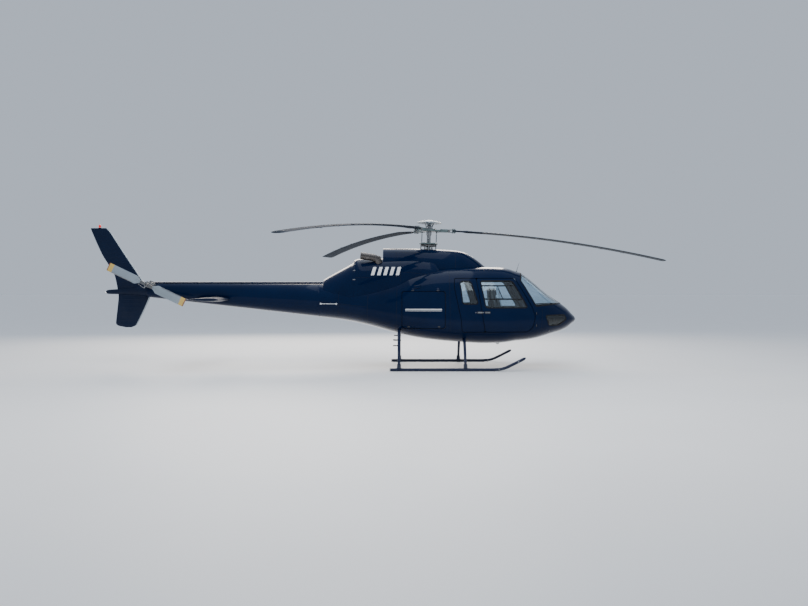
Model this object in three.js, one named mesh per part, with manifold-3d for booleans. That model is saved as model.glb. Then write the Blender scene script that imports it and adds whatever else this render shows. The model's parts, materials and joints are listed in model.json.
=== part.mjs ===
import * as THREE from 'three';
import { mergeVertices } from 'three/addons/utils/BufferGeometryUtils.js';
import Module from 'manifold-3d';

const wasm = await Module();
wasm.setup();

// A light twin-engine helicopter parked on its skids, in millimetres.
// X runs forward of the main rotor's mast, Y to the left, Z up from the ground.
const MAST_FROM_ORIGIN = 1125;
const TOUCH = 0.3; // between pieces that rest on each other
const WALL = 40; // cabin walls and doors, trim included
const DOOR_GAP = 12;
const STOP_THICK = 36; // stops on the sills, which the closed doors rest against
const CABIN_STOPS = [[720, 790], [2010, 2080]]; // x of the rear and front door's stop
const HOLD_STOP = [-90, -10];
const STOP_HEIGHT = 50;
const GLASS_DEPTH = 6; // how far a pane lies below the skin
const GLASS_THICK = 5;
const COWL_WALL = 25;
const BOOM_WALL = 14;

const FLOOR_Z = 800;
const FRONT_SEAT_X = 1540; // where each seat's back meets its cushion
const REAR_SEAT_X = 665;
const CONSOLE_HALF_WIDTH = 280;
const BULKHEAD_X = 460;
const CABIN_REAR_X = 500;
const BOOM_JOINT_X = -2444;
const HOLD_WALL_Y = 400; // inner wall of each side hold
const HOLD_SILL_Z = 890;
const DECK_Z = 1790; // engine deck under the cowls
const WELL_Z = 1750; // gearbox well in the deck
const BOOM_TOP_Z = 1872;
const COVER_FRONT_X = -2350; // the drive shaft's cover on the boom
const COVER_REAR_X = -6420;

// Fuselage and boom sections, nose to tail: x, bottom, top, half width,
// height of the widest line, roundness below it, roundness above it
const HULL = [
  [3305, 1050, 1102, 48, 1076, 2.0, 2.0],
  [3272, 1008, 1145, 165, 1078, 2.0, 2.0],
  [3200, 955, 1217, 290, 1082, 2.0, 2.0],
  [3077, 863, 1341, 420, 1090, 2.1, 2.1],
  [2951, 806, 1436, 512, 1095, 2.2, 2.1],
  [2729, 742, 1584, 628, 1105, 2.3, 2.2],
  [2540, 685, 1736, 705, 1112, 2.4, 2.3],
  [2366, 640, 1887, 760, 1118, 2.5, 2.4],
  [2206, 613, 2013, 800, 1122, 2.6, 2.5],
  [2060, 598, 2112, 830, 1126, 2.7, 2.6],
  [1930, 588, 2152, 853, 1130, 2.8, 2.7],
  [1760, 564, 2203, 880, 1132, 2.9, 2.8],
  [1560, 545, 2230, 904, 1134, 3.0, 2.9],
  [1200, 537, 2238, 925, 1136, 3.0, 3.0],
  [620, 569, 2238, 932, 1140, 3.0, 3.0],
  [135, 610, 2210, 925, 1165, 2.9, 3.0],
  [-348, 679, 2120, 892, 1205, 2.8, 2.9],
  [-833, 799, 1930, 815, 1270, 2.6, 2.7],
  [-1357, 941, 1825, 700, 1350, 2.4, 2.5],
  [-1840, 1041, 1820, 572, 1430, 2.2, 2.3],
  [BOOM_JOINT_X, 1122, BOOM_TOP_Z, 397, 1500, 2.0, 2.0],
];
const BOOM = [
  [BOOM_JOINT_X - TOUCH, 1122, BOOM_TOP_Z, 397, 1500, 2.0, 2.0],
  [-3600, 1253, BOOM_TOP_Z, 326, 1563, 2.0, 2.0],
  [-4900, 1401, BOOM_TOP_Z, 249, 1637, 2.0, 2.0],
  [-6290, 1558, BOOM_TOP_Z, 167, 1715, 2.0, 2.0],
];
const TAIL_CONE = [
  [-6290 - TOUCH, 1558, BOOM_TOP_Z, 167, 1715, 2.0, 2.0],
  [-6520, 1594, 1815, 112, 1706, 2.0, 2.0],
  [-6900, 1626, 1752, 62, 1690, 2.0, 2.0],
  [-7215, 1634, 1728, 45, 1681, 2.0, 2.0],
  [-7265, 1655, 1707, 25, 1681, 2.0, 2.0],
];
const GEARBOX_COWL = [
  [1352, 1900, 2190, 70, 2050, 2.0, 2.0],
  [1263, 1850, 2256, 210, 2000, 2.0, 2.0],
  [1125, 1800, 2370, 300, 2000, 2.0, 2.1],
  [981, 1750, 2471, 365, 2000, 2.0, 2.2],
  [780, 1750, 2572, 430, 2000, 2.0, 2.4],
  [617, 1750, 2604, 462, 2000, 2.0, 2.6],
  [-28, 1750, 2640, 480, 2000, 2.0, 2.8],
  [-511, 1750, 2653, 470, 2000, 2.0, 2.8],
  [-1014, 1750, 2656, 440, 2000, 2.0, 2.8],
];
const ENGINE_COWL = [
  [215, 1250, 2290, 640, 1600, 2.0, 3.4],
  [120, 1250, 2385, 655, 1600, 2.0, 3.2],
  [-150, 1250, 2450, 662, 1600, 2.0, 3.0],
  [-500, 1250, 2456, 664, 1600, 2.0, 2.9],
  [-1014, 1250, 2438, 640, 1600, 2.0, 2.8],
  [-1580, 1250, 2420, 600, 1600, 2.0, 2.6],
  [-1729, 1250, 2311, 575, 1600, 2.0, 2.5],
  [-2000, 1250, 2157, 478, 1600, 2.0, 2.3],
  [-2255, 1250, 2015, 385, 1600, 2.0, 2.2],
  [-2345, 1250, 1962, 350, 1600, 2.0, 2.1],
];

// Side outlines of the openings, as x and z, with the radius of their corners
const DOOR_FRONT_EDGE = [[1855, 1980], [2215, 1360], [2290, 1150], [2230, 900], [2120, 812]];
const DOOR_REAR_EDGE = [[690, 812], [665, 1100], [590, 1450], [522, 1780], [530, 1980]];
const DOOR_SPLIT = [[1190, 812], [1000, 1980]];
const splitMoved = (x) => DOOR_SPLIT.map((point) => [point[0] + x, point[1]]);
const OPENINGS = {
  doorway: { radius: 45, points: [...DOOR_FRONT_EDGE, ...DOOR_REAR_EDGE] },
  frontDoor: { radius: 45, points: [...DOOR_FRONT_EDGE, ...splitMoved(-DOOR_GAP / 2)] },
  rearDoor: { radius: 35, points: [...splitMoved(DOOR_GAP / 2).reverse(), ...DOOR_REAR_EDGE] },
  holdDoor: { radius: 60, points: [[-600, 1700], [340, 1700], [340, HOLD_SILL_Z], [-600, HOLD_SILL_Z]] },
  frontWindow: { radius: 60, points: [[1090, 1920], [1785, 1920], [2115, 1340], [1200, 1340]] },
  rearWindow: { radius: 65, points: [[650, 1910], [880, 1910], [1040, 1420], [710, 1420]] },
  chinWindow: { radius: 40, points: [[2520, 1170], [2960, 1185], [3020, 1090], [2830, 955], [2600, 950]] },
};
const WINDSCREEN = { radius: 45, points: [
  [2305, 1375], [1985, 1930], [2020, 2050], [2075, 2250], [3400, 2250], [3400, 1478]] };
const WINDSCREEN_POST = 34; // half width of the centre post

// Main rotor
const ROTOR_TILT = THREE.MathUtils.degToRad(2);
const ROTOR_BASE_Z = 2640;
const ROTOR_RADIUS = 5345;
const BLADE_ROOT = 525;
const BLADE_Z = 425; // above the rotor base, as are the next heights
const BLADE_CHORD = 350;
const BLADE_THICK = 0.12;
const BLADE_AZIMUTHS = [0, 120, 240];
const DOME_RADIUS = 282;
const DOME_Z = 572;
const DOME_TOP_Z = 646;
const MAST_RADIUS = 48;
const HORN_Z = 392; // underside of the blade sleeves

// Tail rotor
const TAIL_HUB = [-6200, -470, 1840];
const TAIL_RADIUS = 930;
const TAIL_CHORD = 185;
const TAIL_ANGLE = THREE.MathUtils.degToRad(-25.6);

// Landing gear
const SKID_Y = 1085;
const SKID_RADIUS = 32;
const SHOE_THICK = 6;
const SKID_Z = SHOE_THICK + SKID_RADIUS - 3;
const TUBE_RADIUS = 34;

const FINISH = {
  paint: new THREE.MeshStandardMaterial({ color: 0x0a1024, roughness: 0.25, metalness: 0.2 }),
  glass: new THREE.MeshStandardMaterial({ color: 0x8fa3ad, roughness: 0.05, transparent: true, opacity: 0.4 }),
  blade: new THREE.MeshStandardMaterial({ color: 0x35414c, roughness: 0.5 }),
  metal: new THREE.MeshStandardMaterial({ color: 0x8a9499, roughness: 0.4, metalness: 0.8 }),
  exhaust: new THREE.MeshStandardMaterial({ color: 0x6a5648, roughness: 0.5, metalness: 0.8 }),
  trim: new THREE.MeshStandardMaterial({ color: 0x1b1c1e, roughness: 0.8 }),
  leather: new THREE.MeshStandardMaterial({ color: 0x3a3d42, roughness: 0.7 }),
  lamp: new THREE.MeshStandardMaterial({ color: 0xb01010, roughness: 0.1 }),
};

const helicopter = new THREE.Group();
const airframe = new THREE.Group();
airframe.position.x = MAST_FROM_ORIGIN;
helicopter.add(airframe);

// Solids and their booleans
function solid(geometry) {
  const bare = geometry.clone();
  bare.deleteAttribute('normal');
  bare.deleteAttribute('uv');
  const merged = mergeVertices(bare, 1e-3);
  const corner = (k) => new THREE.Vector3().fromBufferAttribute(merged.attributes.position, k);
  const triangles = [];
  let volume = 0;
  for (let k = 0; k < merged.index.count; k += 3) {
    const [a, b, c] = [0, 1, 2].map((n) => merged.index.getX(k + n));
    if (a !== b && b !== c && c !== a) triangles.push([a, b, c]);
    volume += corner(a).dot(corner(b).cross(corner(c)));
  }
  if (volume < 0) triangles.forEach((triangle) => triangle.reverse());
  return new wasm.Manifold(new wasm.Mesh({
    numProp: 3,
    vertProperties: new Float32Array(merged.attributes.position.array),
    triVerts: new Uint32Array(triangles.flat()),
  }));
}

function add(parent, name, body, finish) {
  const mesh = body.getMesh();
  const geometry = new THREE.BufferGeometry();
  geometry.setAttribute('position', new THREE.BufferAttribute(new Float32Array(mesh.vertProperties), 3));
  geometry.setIndex(new THREE.BufferAttribute(new Uint32Array(mesh.triVerts), 1));
  geometry.computeVertexNormals();
  const part = new THREE.Mesh(geometry, finish);
  part.name = name;
  parent.add(part);
}

function box(x0, x1, y0, y1, z0, z1) {
  const geometry = new THREE.BoxGeometry(x1 - x0, y1 - y0, z1 - z0);
  return solid(geometry.translate((x0 + x1) / 2, (y0 + y1) / 2, (z0 + z1) / 2));
}

// A cylinder between two points, with a radius at each end
function rod(from, to, radius, endRadius = radius, sides = 12) {
  const start = new THREE.Vector3(...from);
  const along = new THREE.Vector3(...to).sub(start);
  const geometry = new THREE.CylinderGeometry(endRadius, radius, along.length(), sides);
  geometry.translate(0, along.length() / 2, 0);
  const turn = new THREE.Quaternion().setFromUnitVectors(new THREE.Vector3(0, 1, 0), along.normalize());
  return solid(geometry.applyQuaternion(turn).translate(...from));
}

function turned(profile, sides = 32) {
  const points = profile.map(([radius, z]) => new THREE.Vector2(radius, z));
  return solid(new THREE.LatheGeometry(points, sides).rotateX(Math.PI / 2));
}

const sum = (bodies) => bodies.reduce((whole, body) => whole.add(body));

// The main piece of a cut solid, without the offcuts
function largest(body) {
  return body.decompose().sort((a, b) => b.volume() - a.volume())[0];
}

// A closed skin over rings of points, with a flat cap at each end
function loft(rings) {
  const count = rings[0].length;
  const index = [];
  for (let ring = 0; ring < rings.length - 1; ring += 1) {
    for (let k = 0; k < count; k += 1) {
      const a = ring * count + k;
      const b = ring * count + (k + 1) % count;
      index.push(a, b, b + count, a, b + count, a + count);
    }
  }
  const last = (rings.length - 1) * count;
  for (let k = 1; k < count - 1; k += 1) {
    index.push(0, k + 1, k, last, last + k, last + k + 1);
  }
  const geometry = new THREE.BufferGeometry();
  const numbers = rings.flat().flatMap((p) => [p.x, p.y, p.z]);
  geometry.setAttribute('position', new THREE.Float32BufferAttribute(numbers, 3));
  geometry.setIndex(index);
  return solid(geometry);
}

// A ring of a rounded section: two half superellipses that meet at the widest line
function sectionRing([x, bottom, top, halfWidth, waist, low, high], count) {
  const ring = [];
  for (let k = 0; k < count; k += 1) {
    const angle = (2 * Math.PI * k) / count;
    const [c, s] = [Math.cos(angle), Math.sin(angle)];
    const power = 2 / (s < 0 ? low : high);
    const height = s < 0 ? waist - bottom : top - waist;
    ring.push(new THREE.Vector3(
      x,
      halfWidth * Math.sign(c) * Math.abs(c) ** power,
      waist + height * Math.sign(s) * Math.abs(s) ** power,
    ));
  }
  return ring;
}

// The skin through a table of sections, moved out along its own normals
function skin(table, offset = 0, count = 36) {
  const rings = table.map((row) => sectionRing(row, count));
  const moved = rings.map((ring, i) => ring.map((point, k) => {
    const ahead = rings[Math.max(i - 1, 0)][k];
    const behind = rings[Math.min(i + 1, rings.length - 1)][k];
    const along = ahead.clone().sub(behind);
    const around = ring[(k + 1) % count].clone().sub(ring[(k + count - 1) % count]);
    return point.clone().addScaledVector(around.cross(along).normalize(), offset);
  }));
  return loft(moved);
}

// The same sections with the last one moved forward, so that the end keeps a wall
function endMoved(table, forward) {
  const [x, ...rest] = table[table.length - 1];
  return [...table.slice(0, -1), [x + forward, ...rest]];
}

// What another piece is cut with to keep its seat clear of this skin
function clearance(table, count) {
  const first = [table[0][0] + 2, ...table[0].slice(1)];
  return skin([first, ...table, endMoved(table, -2).pop()], TOUCH, count);
}

// Side outlines and the prisms through them
function grownOutline(points, grow) {
  const turns = points.map((p, i) => {
    const q = points[(i + 1) % points.length];
    return p[0] * q[1] - q[0] * p[1];
  });
  const side = Math.sign(turns.reduce((a, b) => a + b));
  const edges = points.map((p, i) => {
    const q = points[(i + 1) % points.length];
    const length = Math.hypot(q[0] - p[0], q[1] - p[1]);
    const normal = [(side * (q[1] - p[1])) / length, (-side * (q[0] - p[0])) / length];
    return { normal, reach: normal[0] * p[0] + normal[1] * p[1] + grow };
  });
  return edges.map((edge, i) => {
    const before = edges[(i + edges.length - 1) % edges.length];
    const cross = before.normal[0] * edge.normal[1] - before.normal[1] * edge.normal[0];
    return [
      (before.reach * edge.normal[1] - edge.reach * before.normal[1]) / cross,
      (before.normal[0] * edge.reach - edge.normal[0] * before.reach) / cross,
    ];
  });
}

function roundedShape(points, radius) {
  const corners = points.map((p) => new THREE.Vector2(...p));
  const shape = new THREE.Shape();
  corners.forEach((corner, i) => {
    const before = corners[(i + corners.length - 1) % corners.length];
    const after = corners[(i + 1) % corners.length];
    const cut = Math.min(radius, before.distanceTo(corner) / 2.1, after.distanceTo(corner) / 2.1);
    const start = corner.clone().add(before.clone().sub(corner).setLength(cut));
    const end = corner.clone().add(after.clone().sub(corner).setLength(cut));
    if (i === 0) shape.moveTo(start.x, start.y);
    else shape.lineTo(start.x, start.y);
    shape.quadraticCurveTo(corner.x, corner.y, end.x, end.y);
  });
  shape.closePath();
  return shape;
}

// A prism across the fuselage, from y0 out to y1 on the given side
function sidePrism({ points, radius }, grow, side, y0 = 30, y1 = 1300) {
  const shape = roundedShape(grownOutline(points, grow), radius);
  const geometry = new THREE.ExtrudeGeometry(shape, { depth: y1 - y0, bevelEnabled: false, curveSegments: 3 });
  geometry.rotateX(Math.PI / 2).translate(0, side > 0 ? y1 : -y0, 0);
  return solid(geometry);
}

const SIDES = [['right', -1], ['left', 1]];
const hull = skin(HULL);
const hullGrown = clearance(HULL, 36);
const hullInside = skin(HULL, -WALL);
const stopBand = skin(HULL, -WALL - TOUCH).subtract(skin(HULL, -WALL - STOP_THICK));
const cabinZone = box(CABIN_REAR_X, 4000, -1500, 1500, FLOOR_Z, 3000);
const glassShell = skin(HULL, -GLASS_DEPTH).subtract(skin(HULL, -GLASS_DEPTH - GLASS_THICK));

// A short stop that stands on a door's sill, against the inside of the closed door
function doorStop([x0, x1], side, sillZ) {
  const [y0, y1] = side > 0 ? [0, 1500] : [-1500, 0];
  return stopBand.intersect(box(x0, x1, y0, y1, sillZ - 20, sillZ + STOP_HEIGHT));
}

// Belly, floor and the tunnels of the cross tubes
function lowerFuselage(crossTubes) {
  const belly = hull.intersect(box(-900, 4000, -1500, 1500, 0, FLOOR_Z - TOUCH));
  const stops = SIDES.flatMap(([, side]) => CABIN_STOPS.map((span) => doorStop(span, side, FLOOR_Z)));
  return crossTubes.reduce((body, tunnel) => body.subtract(tunnel), sum([belly, ...stops]));
}

function cabinShell() {
  const zone = box(BULKHEAD_X + TOUCH, 4000, -1500, 1500, FLOOR_Z, 3000);
  let shell = hull.intersect(zone).subtract(hullInside.intersect(cabinZone));
  for (const [, side] of SIDES) {
    shell = shell.subtract(sidePrism(OPENINGS.doorway, 0, side)).subtract(sidePrism(OPENINGS.chinWindow, 0, side));
    shell = shell.subtract(sidePrism(WINDSCREEN, 0, side, WINDSCREEN_POST));
  }
  return shell;
}

function centreFuselage() {
  const zone = box(BOOM_JOINT_X - 5, BULKHEAD_X, -1500, 1500, FLOOR_Z, 3000);
  let body = hull.intersect(zone);
  for (const [, side] of SIDES) {
    body = body.subtract(sidePrism(OPENINGS.holdDoor, 0, side, HOLD_WALL_Y)).add(doorStop(HOLD_STOP, side, HOLD_SILL_Z));
  }
  const deck = box(-1960, -400, -480, 480, DECK_Z, 3000);
  const well = box(-320, 320, -300, 300, WELL_Z, 3000);
  return body.subtract(deck).subtract(well);
}

function door(opening, side) {
  const wall = hull.subtract(hullInside);
  return wall.intersect(sidePrism(OPENINGS[opening], -DOOR_GAP, side));
}

function pane(outline, side, inner = 30) {
  return glassShell.intersect(sidePrism(outline, -TOUCH, side, inner));
}

function gearboxCowl() {
  const mouth = rod([0, 0, 2450], [18, 0, 2900], 215, 215, 24);
  const inside = skin(endMoved(GEARBOX_COWL, COWL_WALL), -COWL_WALL, 32);
  return skin(GEARBOX_COWL, 0, 32).subtract(inside).subtract(hullGrown).subtract(mouth);
}

function engineCowl(side) {
  const [front, ...rest] = ENGINE_COWL;
  const openFront = [[front[0] + 80, ...front.slice(1)], front, ...endMoved(rest, COWL_WALL)];
  const half = side > 0 ? box(-3000, 1000, TOUCH / 2, 1500, 0, 3000) : box(-3000, 1000, -1500, -TOUCH / 2, 0, 3000);
  return skin(ENGINE_COWL, 0, 32).subtract(skin(openFront, -COWL_WALL, 32)).subtract(hullGrown)
    .subtract(clearance(GEARBOX_COWL, 32)).intersect(half);
}

// Hollow boom, open towards the fuselage
function tailBoom() {
  const [front, ...rest] = BOOM;
  const inner = [[front[0] + 40, ...front.slice(1)], ...endMoved(rest, 2 * BOOM_WALL)];
  return skin(BOOM, 0, 28).subtract(skin(inner, -BOOM_WALL, 28));
}

// Half-round cover along the top of the boom
function driveShaftCover(grow = 0) {
  const [half, shoulder, rise] = [58 + grow, 18, 37 + grow];
  const shape = new THREE.Shape();
  shape.moveTo(-half, -grow);
  shape.lineTo(half, -grow);
  shape.quadraticCurveTo(half, shoulder, half - 14, 27 + grow);
  shape.quadraticCurveTo(0, 2 * rise - 27 - grow, 14 - half, 27 + grow);
  shape.quadraticCurveTo(-half, shoulder, -half, -grow);
  const length = COVER_FRONT_X - COVER_REAR_X + 2 * grow;
  const geometry = new THREE.ExtrudeGeometry(shape, { depth: length, bevelEnabled: false, curveSegments: 5 });
  geometry.rotateX(Math.PI / 2).rotateZ(Math.PI / 2);
  return solid(geometry.translate(COVER_REAR_X - grow, 0, BOOM_TOP_Z + TOUCH));
}

// An aerofoil section as pairs of chord share and half thickness share
const AEROFOIL = [[0, 0], [0.025, 0.24], [0.1, 0.41], [0.3, 0.5], [0.6, 0.38], [0.85, 0.16], [1, 0.02]];

function aerofoil(chord, thick) {
  const upper = AEROFOIL.map(([along, half]) => [along * chord, half * thick]);
  const lower = AEROFOIL.slice(1).reverse().map(([along, half]) => [along * chord, -half * thick]);
  return [...upper, ...lower];
}

// A vertical fin through rows of height, leading edge, trailing edge and thickness
function fin(rows) {
  return loft(rows.map(([z, lead, trail, thick]) => (
    aerofoil(lead - trail, thick).map(([along, half]) => new THREE.Vector3(lead - along, half, z))
  )));
}

const UPPER_FIN = [
  [1640, -6240, -6990, 96], [2027, -6498, -7067, 84], [2541, -6840, -7360, 66], [3060, -7185, -7588, 48],
  [3110, -7245, -7606, 30],
];
const LOWER_FIN = [
  [1720, -6240, -6990, 96], [1560, -6275, -6990, 90], [990, -6545, -7050, 56], [925, -6590, -7010, 44],
  [882, -6700, -6830, 20],
];

// Half of the stabiliser, from inside the boom out to its tip
function stabiliser(side) {
  const rows = [[150, 0, 84], [1215, 0, 70], [1265, 30, 36]]; // out, set back, thickness
  const [lead, chord, z] = [-4430, 720, 1520];
  const rings = rows.map(([y, back, thick]) => (
    aerofoil(chord - 2 * back, thick).map(([along, half]) => new THREE.Vector3(lead - back - along, side * y, z + half))
  ));
  return loft(rings).subtract(clearance(BOOM, 28));
}

// A round tube through points, mitred at each
function tube(points, radius, sides = 12) {
  const path = points.map((p) => new THREE.Vector3(...p));
  const rings = path.map((point, i) => {
    const next = path[Math.min(i + 1, path.length - 1)].clone().sub(point).normalize();
    const last = point.clone().sub(path[Math.max(i - 1, 0)]).normalize();
    const along = next.clone().add(last).normalize();
    const across = Math.abs(path[0].y - path[path.length - 1].y) > 1 ? new THREE.Vector3(1, 0, 0)
      : new THREE.Vector3(0, 1, 0);
    const up = new THREE.Vector3().crossVectors(along, across).normalize();
    const stretch = 1 / Math.max(along.dot(i ? last : next), 0.7);
    return Array.from({ length: sides }, (_, k) => {
      const angle = (2 * Math.PI * (k + 0.5)) / sides;
      return point.clone().addScaledVector(across, radius * Math.cos(angle))
        .addScaledVector(up, radius * stretch * Math.sin(angle));
    });
  });
  return loft(rings);
}

// Half path of each cross tube, from the middle out to the skid saddle, as y and z
const CROSS_TUBES = [
  { name: 'front_cross_tube', x: 754, steps: [[0, 650], [640, 650], [740, 625], [815, 560], [1000, 250], [1050, 130]] },
  { name: 'rear_cross_tube', x: -657, steps: [[0, 880], [560, 880], [660, 850], [740, 775], [990, 270], [1050, 130]] },
];

function crossTube({ x, steps }, grow = 0) {
  const right = [...steps].reverse().map(([y, z]) => [x, -y, z]);
  const left = steps.slice(1).map(([y, z]) => [x, y, z]);
  return tube([...right, ...left], TUBE_RADIUS + grow);
}

// Cross tube with its saddles on the skids
function gearLeg(row) {
  const saddles = SIDES.map(([, side]) => (
    rod([row.x, side * 1052, 150], [row.x, side * (SKID_Y - 6), SKID_Z + 5], 40, 52)
  ));
  return sum([crossTube(row), ...saddles]).subtract(skidTube(-1, TOUCH)).subtract(skidTube(1, TOUCH));
}

const SKID_PATH = [[-850, 0], [1440, 0], [1530, 12], [1610, 42], [2025, 250]]; // x and rise
function skidTube(side, grow = 0) {
  return tube(SKID_PATH.map(([x, rise]) => [x, side * SKID_Y, SKID_Z + rise]), SKID_RADIUS + grow);
}

// Skid with the flat wear shoe that it stands on
function skid(side) {
  const y = side * SKID_Y;
  return skidTube(side).add(box(-800, 1380, y - 16, y + 16, 0, SHOE_THICK + 4));
}

function gearboxBlock() {
  const housing = rod([0, 0, 2500], [0, 0, 2600], 190, 150, 20);
  const top = rotorFrame(rod([0, 0, -80], [0, 0, -TOUCH], 140, 110, 20));
  return sum([box(-300, 300, -280, 280, WELL_Z + TOUCH, 2505), housing, top]);
}

function rotorFrame(body) {
  return body.rotate([0, THREE.MathUtils.radToDeg(ROTOR_TILT), 0]).translate([0, 0, ROTOR_BASE_Z]);
}

function exhaust(side) {
  const path = [[-1090, side * 400, 2300], [-1130, side * 404, 2380], [-1220, side * 418, 2435],
    [-1500, side * 462, 2475]];
  const outer = pipe(path, 80);
  const bore = pipe([path[2], [-1560, side * 471, 2484]], 70);
  return outer.subtract(bore).subtract(clearance(ENGINE_COWL, 32)).subtract(clearance(GEARBOX_COWL, 32));
}

// A pipe whose rings stand square to its path
function pipe(points, radius, sides = 16) {
  const path = points.map((p) => new THREE.Vector3(...p));
  return loft(path.map((point, i) => {
    const along = path[Math.min(i + 1, path.length - 1)].clone().sub(path[Math.max(i - 1, 0)]).normalize();
    const across = new THREE.Vector3(0, 1, 0).cross(along).normalize();
    const up = across.clone().cross(along);
    return Array.from({ length: sides }, (_, k) => {
      const angle = (2 * Math.PI * k) / sides;
      return point.clone().addScaledVector(across, radius * Math.cos(angle)).addScaledVector(up, radius * Math.sin(angle));
    });
  }));
}

// Seats: a side outline carried across the cabin
function seat(x, y0, y1) {
  const points = [[x - 40, FLOOR_Z + TOUCH], [x + 420, FLOOR_Z + TOUCH], [x + 480, 1140], [x + 60, 1110], [x - 60, 1760],
    [x - 160, 1760], [x - 90, 1080]];
  const shape = new THREE.Shape(points.map((p) => new THREE.Vector2(...p)));
  const geometry = new THREE.ExtrudeGeometry(shape, { depth: y1 - y0, bevelEnabled: false });
  return solid(geometry.rotateX(Math.PI / 2).translate(0, y1, 0));
}

function consoleBlock() {
  const points = [[2080, FLOOR_Z + TOUCH], [2560, FLOOR_Z + TOUCH], [2600, 1180], [2460, 1345], [2280, 1345], [2230, 1000]];
  const shape = new THREE.Shape(points.map((p) => new THREE.Vector2(...p)));
  const depth = 2 * CONSOLE_HALF_WIDTH;
  const geometry = new THREE.ExtrudeGeometry(shape, { depth, bevelEnabled: false });
  return solid(geometry.rotateX(Math.PI / 2).translate(0, CONSOLE_HALF_WIDTH, 0));
}

// One main blade along +X, drooping under its own weight
function mainBlade() {
  const rows = [[BLADE_ROOT, 0.3, 0.34], [720, 0.3, 0.3], [980, 1, BLADE_THICK], [1900, 1, BLADE_THICK],
    [2800, 1, BLADE_THICK], [3700, 1, BLADE_THICK], [4600, 1, BLADE_THICK], [ROTOR_RADIUS, 1, BLADE_THICK]];
  return loft(rows.map(([r, share, thick]) => {
    const out = (r - 600) / 1000;
    const droop = out > 0 ? 16 * out + 18.5 * out * out : 0;
    const chord = BLADE_CHORD * share;
    return aerofoil(chord, chord * thick).map(([along, half]) => (
      new THREE.Vector3(r, along - 0.25 * BLADE_CHORD - (share < 1 ? -30 : 0), BLADE_Z - droop + half)
    ));
  }));
}

function tailBlade(sign) {
  const rows = [[150 + TOUCH, 0.4, 0.3], [270, 1, 0.12], [TAIL_RADIUS - 6, 1, 0.1]];
  return loft(rows.map(([r, share, thick]) => {
    const chord = TAIL_CHORD * share;
    return aerofoil(chord, chord * thick).map(([along, half]) => (
      new THREE.Vector3(sign * r, half, sign * (chord / 2 - along))
    ));
  }));
}

function buildFuselage() {
  const tunnels = CROSS_TUBES.map((row) => crossTube(row, TOUCH));
  add(airframe, 'lower_fuselage', lowerFuselage(tunnels), FINISH.paint);
  add(airframe, 'cabin_shell', cabinShell(), FINISH.paint);
  add(airframe, 'centre_fuselage', tunnels.reduce((body, tunnel) => body.subtract(tunnel), centreFuselage()),
    FINISH.paint);
  for (const [word, side] of SIDES) {
    const frontDoor = door('frontDoor', side).subtract(sidePrism(OPENINGS.frontWindow, 0, side));
    const rearDoor = door('rearDoor', side).subtract(sidePrism(OPENINGS.rearWindow, 0, side));
    add(airframe, `front_door_${word}`, frontDoor, FINISH.paint);
    add(airframe, `rear_door_${word}`, rearDoor, FINISH.paint);
    add(airframe, `hold_door_${word}`, door('holdDoor', side), FINISH.paint);
    add(airframe, `front_door_pane_${word}`, pane(OPENINGS.frontWindow, side), FINISH.glass);
    add(airframe, `rear_door_pane_${word}`, pane(OPENINGS.rearWindow, side), FINISH.glass);
    add(airframe, `chin_window_${word}`, pane(OPENINGS.chinWindow, side), FINISH.glass);
    add(airframe, `windscreen_${word}`, pane(WINDSCREEN, side, WINDSCREEN_POST + TOUCH), FINISH.glass);
    add(airframe, `engine_cowl_${word}`, engineCowl(side), FINISH.paint);
    add(airframe, `exhaust_${word}`, exhaust(side), FINISH.exhaust);
  }
  add(airframe, 'gearbox_cowl', gearboxCowl(), FINISH.paint);
}

function buildMachinery() {
  add(airframe, 'main_gearbox', gearboxBlock(), FINISH.metal);
  for (const [word, side] of SIDES) {
    const y = side * 215;
    add(airframe, `engine_${word}`, box(-1760, -1060, y - 140, y + 140, DECK_Z + TOUCH, 2090), FINISH.metal);
  }
}

function buildCabin() {
  add(airframe, 'instrument_console', consoleBlock(), FINISH.trim);
  add(airframe, 'front_seat_right', seat(FRONT_SEAT_X, -660, -180), FINISH.leather);
  add(airframe, 'front_seat_left', seat(FRONT_SEAT_X, 180, 660), FINISH.leather);
  add(airframe, 'rear_bench', seat(REAR_SEAT_X, -680, 680), FINISH.leather);
}

function buildTail() {
  const cone = skin(TAIL_CONE, 0, 28);
  const coneGrown = clearance(TAIL_CONE, 28).add(clearance(BOOM, 28));
  const above = box(-8000, -6000, -200, 200, 1700, 4000);
  const below = box(-8000, -6000, -200, 200, 0, 1660);
  const [x, y, z] = TAIL_HUB;
  add(airframe, 'tail_boom', tailBoom(), FINISH.paint);
  add(airframe, 'tail_cone', cone, FINISH.paint);
  add(airframe, 'drive_shaft_cover', driveShaftCover(), FINISH.paint);
  const upperFin = fin(UPPER_FIN).intersect(above).subtract(coneGrown).subtract(driveShaftCover(TOUCH));
  add(airframe, 'upper_fin', largest(upperFin), FINISH.paint);
  add(airframe, 'lower_fin', fin(LOWER_FIN).intersect(below).subtract(coneGrown), FINISH.paint);
  add(airframe, 'stabiliser_right', stabiliser(-1), FINISH.paint);
  add(airframe, 'stabiliser_left', stabiliser(1), FINISH.paint);
  add(airframe, 'tail_gearbox', rod([x, -100, z], [x, y + 100, z], 84, 62, 16).subtract(coneGrown)
    .subtract(driveShaftCover(TOUCH)), FINISH.metal);
  add(airframe, 'beacon', rod([-7400, 0, 3110 + TOUCH], [-7400, 0, 3195], 34, 24, 16), FINISH.lamp);
}

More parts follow.
